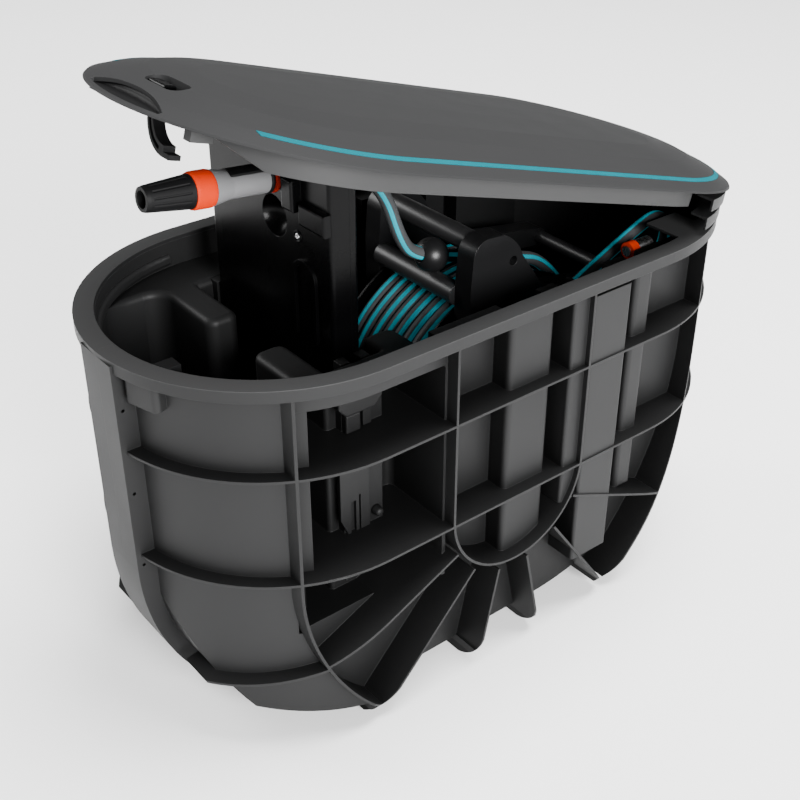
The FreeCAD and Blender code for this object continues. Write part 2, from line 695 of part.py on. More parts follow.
leaf_z = lip_z + boss_face - leaf_thickness
leaf = [box(boss_x[0], boss_x[1] + 16.0, -boss_half_width + 4.0, boss_half_width - 4.0, leaf_z, lip_z + boss_face)]
arm_steps = [(hinge_x - ear_radius, hinge_z), (hinge_x + ear_radius, hinge_z), (boss_x[1] + 16.0, leaf_z + 1.0),
             (boss_x[0] + 6.0, leaf_z + 1.0)]
leaf.extend(both_sides(knuckle(arm_span[0], arm_span[1], arm_steps, running_gap)))
leaf_screw_at = [(x, y) for x in (boss_x[0] + 8.0, boss_x[1] - 8.0) for y in (-5.0, 5.0)]
leaf_holes = [rod((x, y, leaf_z - 5.0), (x, y, lip_z + boss_face + 9.0), screw_radius + running_gap) for x, y in leaf_screw_at]
leaf = fuse(leaf).cut(fuse(leaf_holes))
shell = shell.cut(fuse(leaf_holes))
leaf_screws = [screw((x, y, leaf_z), (0, 0, 1), leaf_thickness + 8.0) for x, y in leaf_screw_at]
export("lid_shell", [turned(shell, rest_opening)])
export("lid_stripe", [turned(stripe, rest_opening)])
export("lid_frame", [turned(frame, rest_opening)])
export("lid_hinge_leaf", [turned(leaf, rest_opening)])
export("lid_screws", [turned(one, rest_opening) for one in leaf_screws])


# Crescent covers that fan out between the lid and the rim
def cover(bottom, ear_span):
    top = bottom + cover_plate
    band = stadium(rim_half_length, rim_half_width, bottom, top)
    band = band.cut(stadium(rim_half_length - cover_band, rim_half_width - cover_band, bottom, top))
    hollow = stadium(rim_half_length - cover_wall, rim_half_width - cover_wall, bottom, top - cover_wall)
    band = band.cut(hollow.cut(box(0.0, far_x, -cover_band, cover_band, bottom, top)))
    inner = rim_half_length - cover_band
    steps = [(hinge_x - ear_radius, hinge_z), (hinge_x + ear_radius, hinge_z), (hinge_x + ear_radius, bottom),
             (inner + 6.0, bottom), (inner + 6.0, top), (hinge_x - ear_radius + 4.0, top)]
    ears = both_sides(knuckle(ear_span[0], ear_span[1], steps, running_gap))
    whole = fuse([band.common(box(rim_half_length - cover_start_inset, far_x, -span, span, bottom, top))] + ears)
    eye_room = box(hinge_x - 44.0, hinge_x + ear_radius + 1.0, -pad_half_width, pad_half_width, 0.0, bottom + 2.0)
    whole = whole.cut(tail_cut(bottom).cut(eye_room))
    return whole.removeSplitter()


lower_bottom = rim_top + cover_gap
upper_bottom = lower_bottom + cover_plate + cover_gap
export("cover_lower", [turned(cover(lower_bottom, lower_ear_span), rest_opening / 3.0)])
export("cover_upper", [turned(cover(upper_bottom, upper_ear_span), rest_opening * 2.0 / 3.0)])

# Latch: knob in the dish, stem through its floor and quarter-wheel hook under the lid
carrier_z = dish_z - 12.0
carrier_plate = 4.0
knob = box(dish_x - 7.0, dish_x + 7.0, knob_y[0], knob_y[1], dish_z + moving_gap, dish_z + knob_height)
knob = rounded(knob, 3.0, lambda e: e.BoundBox.ZMin > dish_z + knob_height - 1.0)
grooves = [box(dish_x - 8.0, dish_x + 8.0, y, y + 1.6, dish_z + knob_height - 1.2, dish_z + knob_height + 1.0) for y in knob_groove_y]
knob = knob.cut(fuse(grooves))
stem = box(dish_x - stem_half, dish_x + stem_half, stem_y[0], stem_y[1], carrier_z + carrier_plate, dish_z + moving_gap + 0.5)
export("latch_knob", [turned(fuse([knob, stem]), rest_opening)])
hook_bottom = rim_top - hook_depth
hook_x = (dish_x - hook_offset, dish_x - hook_offset + hook_width)
hook_turn = carrier_z + carrier_plate - hook_bottom


def hook_band(outer_radius, inner_radius):
    """Quarter ring of the hook, from the carrier round to its lowest point."""
    half = math.sqrt(0.5)
    top = carrier_z + carrier_plate
    return [(hook_y + inner_radius, top), (hook_y + outer_radius, top),
            ((hook_y + outer_radius * half, top - outer_radius * half), (hook_y, top - outer_radius)),
            (hook_y, top - inner_radius),
            ((hook_y + inner_radius * half, top - inner_radius * half), (hook_y + inner_radius, top))]


hook = slab_yz(hook_band(hook_turn, hook_turn - hook_thickness), hook_x[0], hook_x[1])
hook = hook.cut(slab_yz(hook_band(hook_turn - 3.5, hook_turn - hook_thickness + 3.5), hook_x[0] - 1.0, hook_x[0] + 4.0))
hook_end = hook_y - hook_tip
tip = box(hook_x[0], hook_x[1], hook_end, hook_y + 1.0, hook_bottom, hook_bottom + tip_height)
nose = box(hook_x[0], hook_x[1], hook_y - 1.0, hook_y + 8.0, hook_bottom + 1.5, hook_bottom + hook_thickness)
carrier = box(hook_x[0], dish_x - 5.0, hook_y + 4.0, stem_y[1], carrier_z, carrier_z + carrier_plate)
foot = box(dish_x - 10.0, dish_x + 8.0, stem_y[0] - 2.0, stem_y[1], carrier_z, carrier_z + carrier_plate)
export("latch_hook", [turned(fuse([hook, tip, nose, carrier, foot]), rest_opening)])
arm_z = (hook_bottom + tip_height + 0.5, hook_bottom + tip_height + 3.5)
keeper_y = (hook_end - 21.0, hook_end - 3.0)
keeper_x = (hook_x[0] - 6.0, hook_x[1] + 3.0)
keeper = box(keeper_x[0], keeper_x[1], keeper_y[0], keeper_y[1], arm_z[0], arm_z[1])
keeper = keeper.fuse(box(keeper_x[0], keeper_x[1], keeper_y[0], keeper_y[0] + 3.0, arm_z[0] - 14.0, arm_z[1]))
keeper = keeper.common(stadium(skin_half_length - wall, skin_half_width - wall, 0.0, rim_top)).removeSplitter()
export("latch_keeper", [keeper])


# Tower that rises with the lid
tower_split = rail_x[1]
tower_z = (level(tower_bottom), rim_top + tower_top)
tower_wide = tower_half_width
front = box(tower_x[0], tower_split, -tower_wide, tower_wide, tower_z[0], tower_z[1])
front = rounded(front, 5.0, lambda e: upright(e) and e.Vertexes[0].X < tower_split)
front = front.cut(box(tower_x[0] + tower_wall, tower_split, -tower_wide + tower_wall, tower_wide - tower_wall,
                      tower_z[0] + tower_wall, tower_z[1] - tower_wall))
tongue = box(rail_x[0] + moving_gap, rail_x[1] - moving_gap, tower_wide - 1.0, guide_half_width - wall - moving_gap,
             tower_z[0], level(100.0))
bowl_at = V(tower_x[0] - 6.0, -15.0, rim_top + 94.0)
bowl_radius = 24.0


def bowl(radius):
    """Ball for the moulded bowl, with its seam line turned away from the tower."""
    ball_form = Part.makeSphere(radius, bowl_at)
    ball_form.rotate(bowl_at, V(0, 0, 1), 180.0)
    return ball_form


cup = bowl(bowl_radius + tower_wall).common(box(tower_x[0], tower_split, -60.0, 60.0, 0.0, tower_z[1]))
cup_cut = bowl(bowl_radius)


def arch_yz(half_width, foot):
    """Doorway outline round the loop that is moulded on the tower's front."""
    middle, turn = -68.5, rim_top + 40.5
    crown = turn + half_width
    return [(middle - half_width, foot), (middle - half_width, turn),
            ((middle, crown), (middle + half_width, turn)), (middle + half_width, foot)]


loop_half, loop_foot, loop_proud = 21.5, rim_top - 30.0, 3.5
loop_bar = slab_yz(arch_yz(loop_half, loop_foot), tower_x[0] - loop_proud, tower_x[0] + 1.0)
loop_gap = slab_yz(arch_yz(loop_half - 5.5, loop_foot - 1.0), tower_x[0] - loop_proud - 1.0, tower_x[0] + 2.0)
clip = box(tower_x[0] - 12.0, tower_x[0] + 1.0, -66.0, -46.0, rim_top + 116.0, rim_top + 150.0)
clip = rounded(clip, 3.0, lambda e: e.BoundBox.XMax < tower_x[0] - 11.0)
shoulder = box(tower_x[0] - 8.0, tower_x[0] + 1.0, -tower_wide, -70.0, rim_top + 104.0, rim_top + 128.0)
shoulder = rounded(shoulder, 3.0, lambda e: e.BoundBox.XMax < tower_x[0] - 7.0)
post_at = [(y, tower_z[0] + 30.0 + i * 133.0) for y in (-100.0, 100.0) for i in range(4)]
posts = [rod((tower_x[0] + 1.0, y, z), (tower_split, y, z), 5.0) for y, z in post_at]
front = fuse([front, cup, clip, shoulder, loop_bar.cut(loop_gap)] + both_sides(tongue) + posts).cut(cup_cut)
back = box(tower_split, tower_x[1], -tower_wide, tower_wide, tower_z[0], tower_z[1])
back = rounded(back, 5.0, lambda e: upright(e) and e.Vertexes[0].X > tower_split)
back = back.cut(box(tower_split, tower_x[1] - tower_wall, -tower_wide + tower_wall, tower_wide - tower_wall,
                    tower_z[0] + tower_wall, tower_z[1] - tower_wall))
back = fuse([back] + [rod((tower_split, y, z), (tower_x[1] - 1.0, y, z), 5.0) for y, z in post_at])
post_holes = [rod((tower_x[1] + 1.0, y, z), (tower_split - 12.0, y, z), screw_radius + running_gap) for y, z in post_at]
front = front.cut(fuse(post_holes))
back = back.cut(fuse(post_holes))
export("tower_front", [front])
export("tower_back", [back])
export("tower_screws", [screw((tower_x[1], y, z), (-1, 0, 0), 22.0) for y, z in post_at])

# Nozzle on the tower
aim = V(-math.cos(math.radians(nozzle_tilt)), 0.0, math.sin(math.radians(nozzle_tilt)))
nozzle_root = V(tower_x[0], nozzle_y, rim_top + nozzle_tail_height)


def along(start, end, r0, r1=None):
    """Round length of the nozzle between two distances from the tower, straight or tapered."""
    base = nozzle_root + aim * start
    if r1 is None:
        return Part.makeCylinder(r0, end - start, base, aim)
    return Part.makeCone(r0, r1, end - start, base, aim)


ahead = box(-far_x, tower_x[0], -span, span, 0.0, 2.0 * rim_top)
connector = fuse([along(-4.0, 9.0, 13.0), along(3.0, 7.0, 16.0)]).common(ahead)
export("hose_connector", [connector])
grip = fuse([along(9.0, 13.0, 13.5, 15.0), along(13.0, 58.0, 15.0), along(58.0, ring_start - 0.4, 15.0, 18.8),
             along(ring_start - 0.4, tip_end - 36.0, core_pin)])
insert_cut = along(14.0, 60.0, 30.0).cut(along(14.0, 60.0, 12.4)).common(
    box(-far_x, tower_x[0], nozzle_y - 10.0, nozzle_y + 10.0, rim_top + nozzle_tail_height, 2.0 * rim_top))
export("nozzle_body", [grip.cut(insert_cut)])
insert = along(14.0, 60.0, 16.6).cut(along(14.0, 60.0, 12.4)).common(insert_cut)
export("nozzle_insert", [insert])
bore = along(ring_start - 5.0, tip_end + 6.0, core_pin + running_gap)
ring = fuse([along(ring_start, ring_start + 3.0, 18.8, 19.6), along(ring_start + 3.0, ring_end - 3.0, 19.6),
             along(ring_end - 3.0, ring_end, 19.6, 18.6)]).cut(bore)
export("nozzle_ring", [ring])
cone = fuse([along(ring_end, tip_end - 4.0, 17.8, 13.6), along(tip_end - 4.0, tip_end, 13.6, 12.6)]).cut(bore)
flutes = []
for i in range(12):
    flute = Part.makeCylinder(1.5, tip_end - ring_end - 12.0, nozzle_root + aim * (ring_end + 5.0) + V(0, 18.2, 0),
                              aim * (tip_end - ring_end - 12.0) + V(0, -3.6, 0))
    flute.rotate(nozzle_root, aim, 30.0 * i + 15.0)
    flutes.append(flute)
cone = cone.cut(fuse(flutes))
spoke = along(tip_end - 28.0, tip_end - 24.0, core_pin + 0.6)
spoke = spoke.common(box(-far_x, tower_x[0], nozzle_y - 1.5, nozzle_y + 1.5, rim_top, 2.0 * rim_top))
jet = fuse([along(tip_end - 32.0, tip_end - 20.0, 4.0), spoke])
export("nozzle_tip", [fuse([cone, jet])])

# Reel frame
drum_z = level(drum_depth)
floor_z = level(floor_depth) + wall


def at(ahead_of_drum, above_drum):
    """Place in the side view, measured from the drum's axis."""
    return (drum_x + ahead_of_drum, drum_z + above_drum)


cheek_steps = [(drum_x - 80.0, floor_z), at(-80.0, 185.0), at(-77.0, 223.0), (at(-71.0, 239.0), at(-55.0, 246.0)),
               at(-31.0, 244.0), (at(-15.0, 233.0), at(0.0, 210.0)), at(39.0, 155.0), at(handle_bar[0], handle_bar[1] + 12.0),
               (at(handle_bar[0] + 12.0, handle_bar[1]), at(handle_bar[0], handle_bar[1] - 12.0)), at(53.0, 117.0),
               at(65.0, 0.0), (drum_x + 43.0, floor_z + 36.5), (drum_x - 15.0, floor_z)]
cheek = slab_xz(cheek_steps, cheek_inner, cheek_outer)
cheek = cheek.cut(rod((drum_x, 0.0, drum_z), (drum_x, 150.0, drum_z), axle_radius + seat_gap))
peg_x, peg_z = at(-15.0, 207.0)
cheek = cheek.cut(rod((peg_x, 0.0, peg_z), (peg_x, 150.0, peg_z), 6.0))
pocket = slab_xz([at(-55.0, -85.0), at(20.0, -85.0), (drum_x + 20.0, floor_z + 41.5), (drum_x - 55.0, floor_z + 26.5)], 0.0, 150.0)
cheek = cheek.cut(pocket)
export("reel_far_cheek", [cheek])
export("reel_near_cheek", [mirrored(cheek)])


def cross_bar(place, radius):
    x, z = at(*place)
    return rod((x, -cheek_inner, z), (x, cheek_inner, z), radius)


export("upper_bar", [cross_bar(upper_bar, bar_radius)])
export("lower_bar", [cross_bar(lower_bar, bar_radius)])
export("rear_handle", [cross_bar(handle_bar, handle_radius)])
axle = rod((drum_x, -cheek_outer, drum_z), (drum_x, cheek_outer, drum_z), axle_radius)
housing_y = (14.0, 46.0)
housing_radius = 70.0
housing = rod((drum_x, housing_y[0], drum_z), (drum_x, housing_y[1], drum_z), housing_radius)
housing = housing.cut(rod((drum_x, housing_y[0], drum_z), (drum_x, housing_y[1] - 3.0, drum_z), housing_radius - 3.0))
housing = housing.cut(rod((drum_x, 0.0, drum_z), (drum_x, 60.0, drum_z), axle_radius + seat_gap))
export("reel_axle", [axle])
export("spring_housing", [housing])
strip = 1.2
turn_pitch = 6.0
spring_start = 14.0
spring_edges = []
inner_edges = []


def half_turn(radius, centre_shift, up):
    """Half circle of the flat spring, above or below the axle."""
    sign = 1.0 if up else -1.0
    x = drum_x + centre_shift
    return Part.Arc(V(x + sign * radius, 0, drum_z), V(x, 0, drum_z + sign * radius), V(x - sign * radius, 0, drum_z))


for i in range(14):
    radius = spring_start + i * turn_pitch / 2.0
    shift = turn_pitch / 2.0 if i % 2 else 0.0
    spring_edges.append(half_turn(radius + strip, shift, i % 2 == 0).toShape())
    inner_edges.append(half_turn(radius, shift, i % 2 == 0).toShape())
ends = [Part.makeLine(spring_edges[0].Vertexes[0].Point, inner_edges[0].Vertexes[0].Point),
        Part.makeLine(spring_edges[-1].Vertexes[1].Point, inner_edges[-1].Vertexes[1].Point)]
spring_wire = Part.Wire(Part.__sortEdges__(spring_edges + inner_edges + ends))
spring_width = 24.0
spring = Part.Face(spring_wire).extrude(V(0, spring_width, 0))
spring.translate(V(0, housing_y[1] - 3.3 - spring_width, 0))
spring = spring.common(rod((drum_x, 0.0, drum_z), (drum_x, 80.0, drum_z), housing_radius - 3.0))
export("rewind_spring", [spring])
bush = rod((drum_x, flange_inner_half + 0.4, drum_z), (drum_x, cheek_inner, drum_z), axle_radius + 6.0)
bush = bush.cut(rod((drum_x, 0.0, drum_z), (drum_x, 100.0, drum_z), axle_radius + seat_gap))
export("axle_bushes", both_sides(bush))

# Drum with its wound hose
core = rod((drum_x, -flange_inner_half, drum_z), (drum_x, flange_inner_half, drum_z), core_radius)
core = core.cut(rod((drum_x, -flange_inner_half, drum_z), (drum_x, flange_inner_half, drum_z), core_radius - 4.0))
web = rod((drum_x, -4.0, drum_z), (drum_x, 0.0, drum_z), core_radius - 3.0)
hub = rod((drum_x, -flange_inner_half, drum_z), (drum_x, 8.0, drum_z), hub_radius)
core = fuse([core, web, hub]).cut(rod((drum_x, -90.0, drum_z), (drum_x, 90.0, drum_z), axle_radius + running_gap))
windows = []
for i in range(6):
    window = rod((drum_x + 85.0, -10.0, drum_z), (drum_x + 85.0, 10.0, drum_z), 32.0)
    window.rotate(V(drum_x, 0, drum_z), V(0, 1, 0), 60.0 * i)
    windows.append(window)
core = core.cut(fuse(windows))
export("drum_core", [core])
flange_ring = rod((drum_x, flange_inner_half, drum_z), (drum_x, flange_inner_half + flange_thickness, drum_z), flange_radius)
flange_ring = flange_ring.cut(rod((drum_x, 0.0, drum_z), (drum_x, 90.0, drum_z), core_radius - 20.0))
export("drum_far_flange", [flange_ring])
export("drum_near_flange", [mirrored(flange_ring)])


def arc_from(start, tangent, end):
    """Circular arc that leaves the start along the tangent and reaches the end."""
    chord = end.sub(start)
    side = tangent - chord * (tangent.dot(chord) / chord.dot(chord))
    if side.Length < 1e-9:
        return Part.makeLine(start, end)
    angle = tangent.getAngle(chord)
    side.normalize()
    middle = (start + end) * 0.5 + side * (chord.Length / 2.0 * math.tan(angle / 2.0))
    return Part.Arc(start, middle, end).toShape()


def biarc(p0, t0, p1, t1):
    gap = p1.sub(p0)
    both = t0 + t1
    spread = 2.0 * (1.0 - t0.dot(t1))
    reach = gap.dot(both)
    d = (-reach + math.sqrt(reach * reach + spread * gap.dot(gap))) / spread
    joint = (p0 + t0 * d + p1 - t1 * d) * 0.5
    ahead_way = joint.sub(p0 + t0 * d)
    ahead_way.normalize()
    return [arc_from(p0, t0, joint), arc_from(joint, ahead_way, p1)]


def tube(edges, radius, start, way):
    """Solid tube swept along joined edges."""
    sweep = Part.BRepOffsetAPI.MakePipeShell(Part.Wire(edges))
    sweep.add(Part.Wire([Part.makeCircle(radius, start, way)]))
    sweep.build()
    sweep.makeSolid()
    return sweep.shape()


wind_radius = core_radius + hose_radius + 0.2
wind_start = -hose_loops * hose_pitch / 2.0


def wind_point(turns):
    a = 2.0 * math.pi * turns
    return V(drum_x + wind_radius * math.cos(a), wind_start + hose_pitch * turns, drum_z + wind_radius * math.sin(a))


def wind_way(turns):
    a = 2.0 * math.pi * turns
    way = V(-wind_radius * math.sin(a), hose_pitch / (2.0 * math.pi), wind_radius * math.cos(a))
    way.normalize()
    return way


quarters = int(round(hose_loops * 4))
winding_edges = []
for i in range(quarters):
    t0, t1 = i / 4.0, (i + 1) / 4.0
    winding_edges.extend(biarc(wind_point(t0), wind_way(t0), wind_point(t1), wind_way(t1)))
winding = tube(winding_edges, hose_radius, wind_point(0.0), wind_way(0.0))
samples = [wind_point(i / 48.0) for i in range(int(hose_loops * 48) + 1)]
least = min(a.distanceToPoint(b) for i, a in enumerate(samples) for b in samples[i + 24:])
print("hose winding least gap to itself", round(least - 2.0 * hose_radius, 2))
export("hose_winding", [winding])

# Hose from the drum through the stop ball
ball = V(drum_x + stop_ball_offset[0], stop_ball_offset[1], drum_z + stop_ball_offset[2])
lead_radius = wind_radius + 2.0 * hose_radius + 0.6
to_ball = V(ball.x - drum_x, 0.0, ball.z - drum_z)
leave = math.atan2(to_ball.z, to_ball.x) - math.acos(lead_radius / to_ball.Length)
lead_start = leave - math.radians(34.0)


def lead_point(a):
    return V(drum_x + lead_radius * math.cos(a), ball.y, drum_z + lead_radius * math.sin(a))


lead_arc = Part.Arc(lead_point(lead_start), lead_point((lead_start + leave) / 2.0), lead_point(leave)).toShape()
lead_way = V(-math.sin(lead_start), 0.0, math.cos(lead_start))
ball_way = ball.sub(lead_point(leave))
ball_way.normalize()
lead_end = ball - ball_way * 0.3
lead = tube([lead_arc, Part.makeLine(lead_point(leave), lead_end)], hose_radius, lead_point(lead_start), lead_way)
export("hose_lead", [lead])


def route(points):
    """Straight runs joined by tangent arcs; prints the least radius."""
    points = [V(*point) for point in points]
    edges = []
    radii = []
    last = points[0]
    for i in range(1, len(points) - 1):
        before, after = points[i].sub(points[i - 1]), points[i + 1].sub(points[i])
        half = before.getAngle(after) / 2.0
        cut = 0.45 * min(before.Length, after.Length)
        radii.append(cut / math.tan(half))
        before.normalize()
        after.normalize()
        start, end = points[i] - before * cut, points[i] + after * cut
        edges.append(Part.makeLine(last, start))
        edges.append(arc_from(start, before, end))
        last = end
    edges.append(Part.makeLine(last, points[-1]))
    print("hose radii", [round(r, 1) for r in radii])
    first = points[1].sub(points[0])
    hose = tube(edges, hose_radius, points[0], first)
    length = sum(edge.Length for edge in edges)
    print("hose length", round(length, 1), "volume share", round(hose.Volume / (math.pi * hose_radius ** 2 * length), 4))
    return hose


hose_end = V(tower_x[1] + 0.1, nozzle_y, rim_top + nozzle_tail_height - 2.9)
hose_span = hose_end.sub(ball)


def hose_at(along_x, along_y, along_z):
    """Point of the nozzle hose as shares of the way from the stop ball to the tower."""
    return (ball.x + along_x * hose_span.x, ball.y + along_y * hose_span.y, ball.z + along_z * hose_span.z)


nozzle_hose_points = [tuple(ball), tuple(ball + ball_way * 26.0), hose_at(0.269, 0.0, 0.2026), hose_at(0.414, 0.25, 0.7307),
                      hose_at(0.727, 1.0, 1.0), tuple(hose_end)]
export("nozzle_hose", [route(nozzle_hose_points)])
gland_ends = ((tower_x[1], hose_end.y, hose_end.z), (tower_x[1] + 10.0, hose_end.y, hose_end.z))
gland = rod(gland_ends[0], gland_ends[1], hose_radius + 5.0).cut(rod(gland_ends[0], gland_ends[1], hose_radius + 0.4))
export("hose_gland", [gland])
sphere = Part.makeSphere(stop_ball_radius, ball, ball_way)
sphere = sphere.cut(Part.makeCylinder(hose_radius + 1.2, 60.0, ball - ball_way * 30.0, ball_way))
ball_halves = [sphere.common(box(-far_x, far_x, -span, ball.y - 0.4, 0.0, 2.0 * rim_top)),
               sphere.common(box(-far_x, far_x, ball.y + 0.4, span, 0.0, 2.0 * rim_top))]
clamp = Part.makeCylinder(hose_radius + 1.2, 8.0, ball - ball_way * 12.0, ball_way)
clamp = clamp.cut(Part.makeCylinder(hose_radius + seat_gap, 8.0, ball - ball_way * 12.0, ball_way))
export("stop_ball", ball_halves)
export("stop_ball_sleeve", [clamp])

# Water supply from the inlet to the hub
swivel_y = -cheek_outer - 18.0
swivel_rise = 35.0
supply_z = drum_z + swivel_rise
swivel = fuse([rod((drum_x, -cheek_outer - 32.0, drum_z), (drum_x, -cheek_outer, drum_z), 15.0),
               rod((drum_x, swivel_y, drum_z), (drum_x, swivel_y, supply_z), 12.0)])
export("swivel_elbow", [swivel])
elbow_x = rim_half_length - elbow_inset
elbow_start = inlet_y - 24.0
inlet_z = level(inlet_depth)


def supply_at(share, y, depth):
    """Point of the supply hose, placed as a share of the way from the drum's axis to the inlet elbow."""
    return (drum_x + share * (elbow_x - drum_x), y, level(depth))


supply_points = [(drum_x, swivel_y, supply_z), (drum_x, swivel_y, supply_z + 52.0), supply_at(0.102, -116.0, 86.0),
                 supply_at(0.284, -114.0, 60.0), supply_at(0.474, -113.0, 38.0), supply_at(0.649, -110.0, 20.0),
                 supply_at(0.8035, -102.0, 15.0), supply_at(0.937, -94.0, 42.0), supply_at(0.982, -76.0, 92.0),
                 supply_at(0.9965, -58.0, 136.0), supply_at(1.0, -26.0, inlet_depth - 10.0),
                 (elbow_x, 10.0, inlet_z), (elbow_x, elbow_start, inlet_z)]
export("supply_hose", [route(supply_points)])
spigot_x = elbow_x + 12.0
elbow = fuse([rod((elbow_x, elbow_start, inlet_z), (elbow_x, inlet_y + 13.0, inlet_z), 12.0),
              rod((elbow_x, inlet_y, inlet_z), (spigot_x, inlet_y, inlet_z), 12.0)])
export("inlet_elbow", [elbow])
nut_x = skin_half_length + inlet_boss_reach
tail_x = nut_x + nut_thickness + 0.4
spigot_end = tail_x + spigot_neck + spigot_tail
spigot = fuse([rod((spigot_x, inlet_y, inlet_z), (tail_x, inlet_y, inlet_z), spigot_radius),
               rod((tail_x, inlet_y, inlet_z), (tail_x + spigot_neck, inlet_y, inlet_z), spigot_tail_radius - 0.8),
               rod((tail_x + spigot_neck, inlet_y, inlet_z), (spigot_end, inlet_y, inlet_z), spigot_tail_radius)])
spigot = spigot.cut(rod((spigot_x + 8.0, inlet_y, inlet_z), (spigot_end, inlet_y, inlet_z), spigot_bore))
export("inlet_spigot", [spigot])
nut_radius = spigot_radius + 5.8
hexagon = []
for i in range(6):
    turn = math.radians(60.0 * i)
    hexagon.append((inlet_y + nut_radius * math.cos(turn), inlet_z + nut_radius * math.sin(turn)))
nut = slab_yz(hexagon, nut_x, nut_x + nut_thickness)
nut = nut.cut(rod((nut_x, inlet_y, inlet_z), (nut_x + nut_thickness, inlet_y, inlet_z), spigot_radius + seat_gap))
export("inlet_nut", [nut])

# Tap connector parked on a shelf beside the deck
tap_x = (deck_x[0] - 47.0, deck_x[0] - 8.0)
tap_y = tap_wall_gap + wall - panel_half_width
tap_z = level(20.0)
tap_radius = 9.5
tap = fuse([rod((tap_x[0] + 14.0, tap_y, tap_z), (tap_x[1], tap_y, tap_z), tap_radius),
            rod((tap_x[0], tap_y, tap_z), (tap_x[0] + 14.0, tap_y, tap_z), tap_radius - 3.0)])
export("tap_connector", [tap])
collar = rod((tap_x[0] + 2.0, tap_y, tap_z), (tap_x[0] + 14.0, tap_y, tap_z), tap_radius + 1.0)
collar = collar.cut(rod((tap_x[0] + 2.0, tap_y, tap_z), (tap_x[0] + 14.0, tap_y, tap_z), tap_radius - 3.0 + seat_gap))
export("tap_collar", [collar])
shelf = box(tap_x[0] + 15.0, tap_x[1], wall - panel_half_width, tap_y + 12.0, tap_z - tap_radius - 3.0, tap_z - 4.0)
shelf = shelf.cut(rod((tap_x[0], tap_y, tap_z), (tap_x[1] + 5.0, tap_y, tap_z), tap_radius + seat_gap))
shelf = shelf.common(stadium(skin_half_length - wall, skin_half_width - wall, 0.0, rim_top))
export("tap_shelf", [shelf])
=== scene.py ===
import json
import math
import bmesh
import bpy
from mathutils import Matrix, Vector


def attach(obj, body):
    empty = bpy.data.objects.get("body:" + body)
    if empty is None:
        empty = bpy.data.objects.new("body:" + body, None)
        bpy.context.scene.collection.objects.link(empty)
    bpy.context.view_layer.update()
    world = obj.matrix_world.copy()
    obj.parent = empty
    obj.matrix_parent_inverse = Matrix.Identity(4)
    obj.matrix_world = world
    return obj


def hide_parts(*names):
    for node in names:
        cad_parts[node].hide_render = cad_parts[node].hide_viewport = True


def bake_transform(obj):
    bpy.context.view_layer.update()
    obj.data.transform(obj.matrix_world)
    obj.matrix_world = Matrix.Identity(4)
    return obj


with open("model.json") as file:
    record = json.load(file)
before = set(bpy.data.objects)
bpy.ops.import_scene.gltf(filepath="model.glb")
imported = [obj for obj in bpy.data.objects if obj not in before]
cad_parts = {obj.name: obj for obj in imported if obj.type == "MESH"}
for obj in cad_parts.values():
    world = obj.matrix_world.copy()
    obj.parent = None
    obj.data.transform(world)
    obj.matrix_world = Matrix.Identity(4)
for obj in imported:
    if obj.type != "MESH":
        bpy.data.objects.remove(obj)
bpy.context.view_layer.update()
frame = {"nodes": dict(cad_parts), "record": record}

MM = 0.001

# Sizes shared with the solids: the height of the rim in metres, the other lengths in millimetres
RIM = 0.487
END_CENTRE_X = -212.0
RIM_HALF_WIDTH = 213.0
INNER_RADIUS = 189.5
TOWER_FRONT_X = -210.0
LID_OPENING = math.radians(16.8)
LID_PIVOT = Vector((344.0, 0.0, 462.0))
LID_LIP_Z = 518.5


# Shader maths
class Wire:
    """A socket of a material's node tree that can be used in Python expressions."""

    def __init__(self, tree, socket):
        self.tree, self.socket = tree, socket

    def math(self, operation, *others):
        made = self.tree.nodes.new("ShaderNodeMath")
        made.operation = operation
        for slot, value in zip(made.inputs, (self,) + others):
            plug(self.tree, slot, value)
        return Wire(self.tree, made.outputs[0])

    def limited(self, low, high):
        return self.math("MAXIMUM", low).math("MINIMUM", high)

    def __add__(self, other):
        return self.math("ADD", other)

    def __sub__(self, other):
        return self.math("SUBTRACT", other)

    def __rsub__(self, other):
        return add_node(self.tree, "ShaderNodeMath", {"operation": "SUBTRACT"}, _0=other, _1=self)

    def __mul__(self, other):
        return self.math("MULTIPLY", other)


def plug(tree, slot, value):
    if isinstance(value, Wire):
        tree.links.new(value.socket, slot)
    else:
        slot.default_value = value


def add_node(tree, kind, settings=None, out=0, **inputs):
    """Any node: its settings first, then its sockets by name, or by number as _0, _1."""
    made = tree.nodes.new(kind)
    for key, value in (settings or {}).items():
        setattr(made, key, value)
    for key, value in inputs.items():
        slot = made.inputs[int(key[1:])] if key[0] == "_" else made.inputs[key.replace("_", " ")]
        plug(tree, slot, value)
    return Wire(tree, made.outputs[out])


def rgba(colour):
    return (*colour, 1.0)


def finish(name, constants, paint):
    """A material whose paint function returns what varies over the surface."""
    material = bpy.data.materials.new(name)
    material.use_nodes = True
    tree = material.node_tree
    shader = tree.nodes["Principled BSDF"]
    for key, value in constants.items():
        shader.inputs[key].default_value = value
    place = add_node(tree, "ShaderNodeTexCoord", out=3)
    for key, value in paint(tree, place).items():
        plug(tree, shader.inputs[key], value)
    return material


def noise(tree, place, scale, detail=2.0, rough=0.5):
    return add_node(tree, "ShaderNodeTexNoise", Vector=place, Scale=scale, Detail=detail, Roughness=rough)


def mixed(tree, share, a, b):
    """Colour between a and b, each a plain colour or another wire."""
    a, b = (c if isinstance(c, Wire) else rgba(c) for c in (a, b))
    return add_node(tree, "ShaderNodeMix", {"data_type": "RGBA"}, out=2, _0=share, _6=a, _7=b)


def bump(tree, height, strength, distance, over=None):
    made = add_node(tree, "ShaderNodeBump", Strength=strength, Distance=distance, Height=height)
    if over:
        plug(tree, made.socket.node.inputs["Normal"], over)
    return made


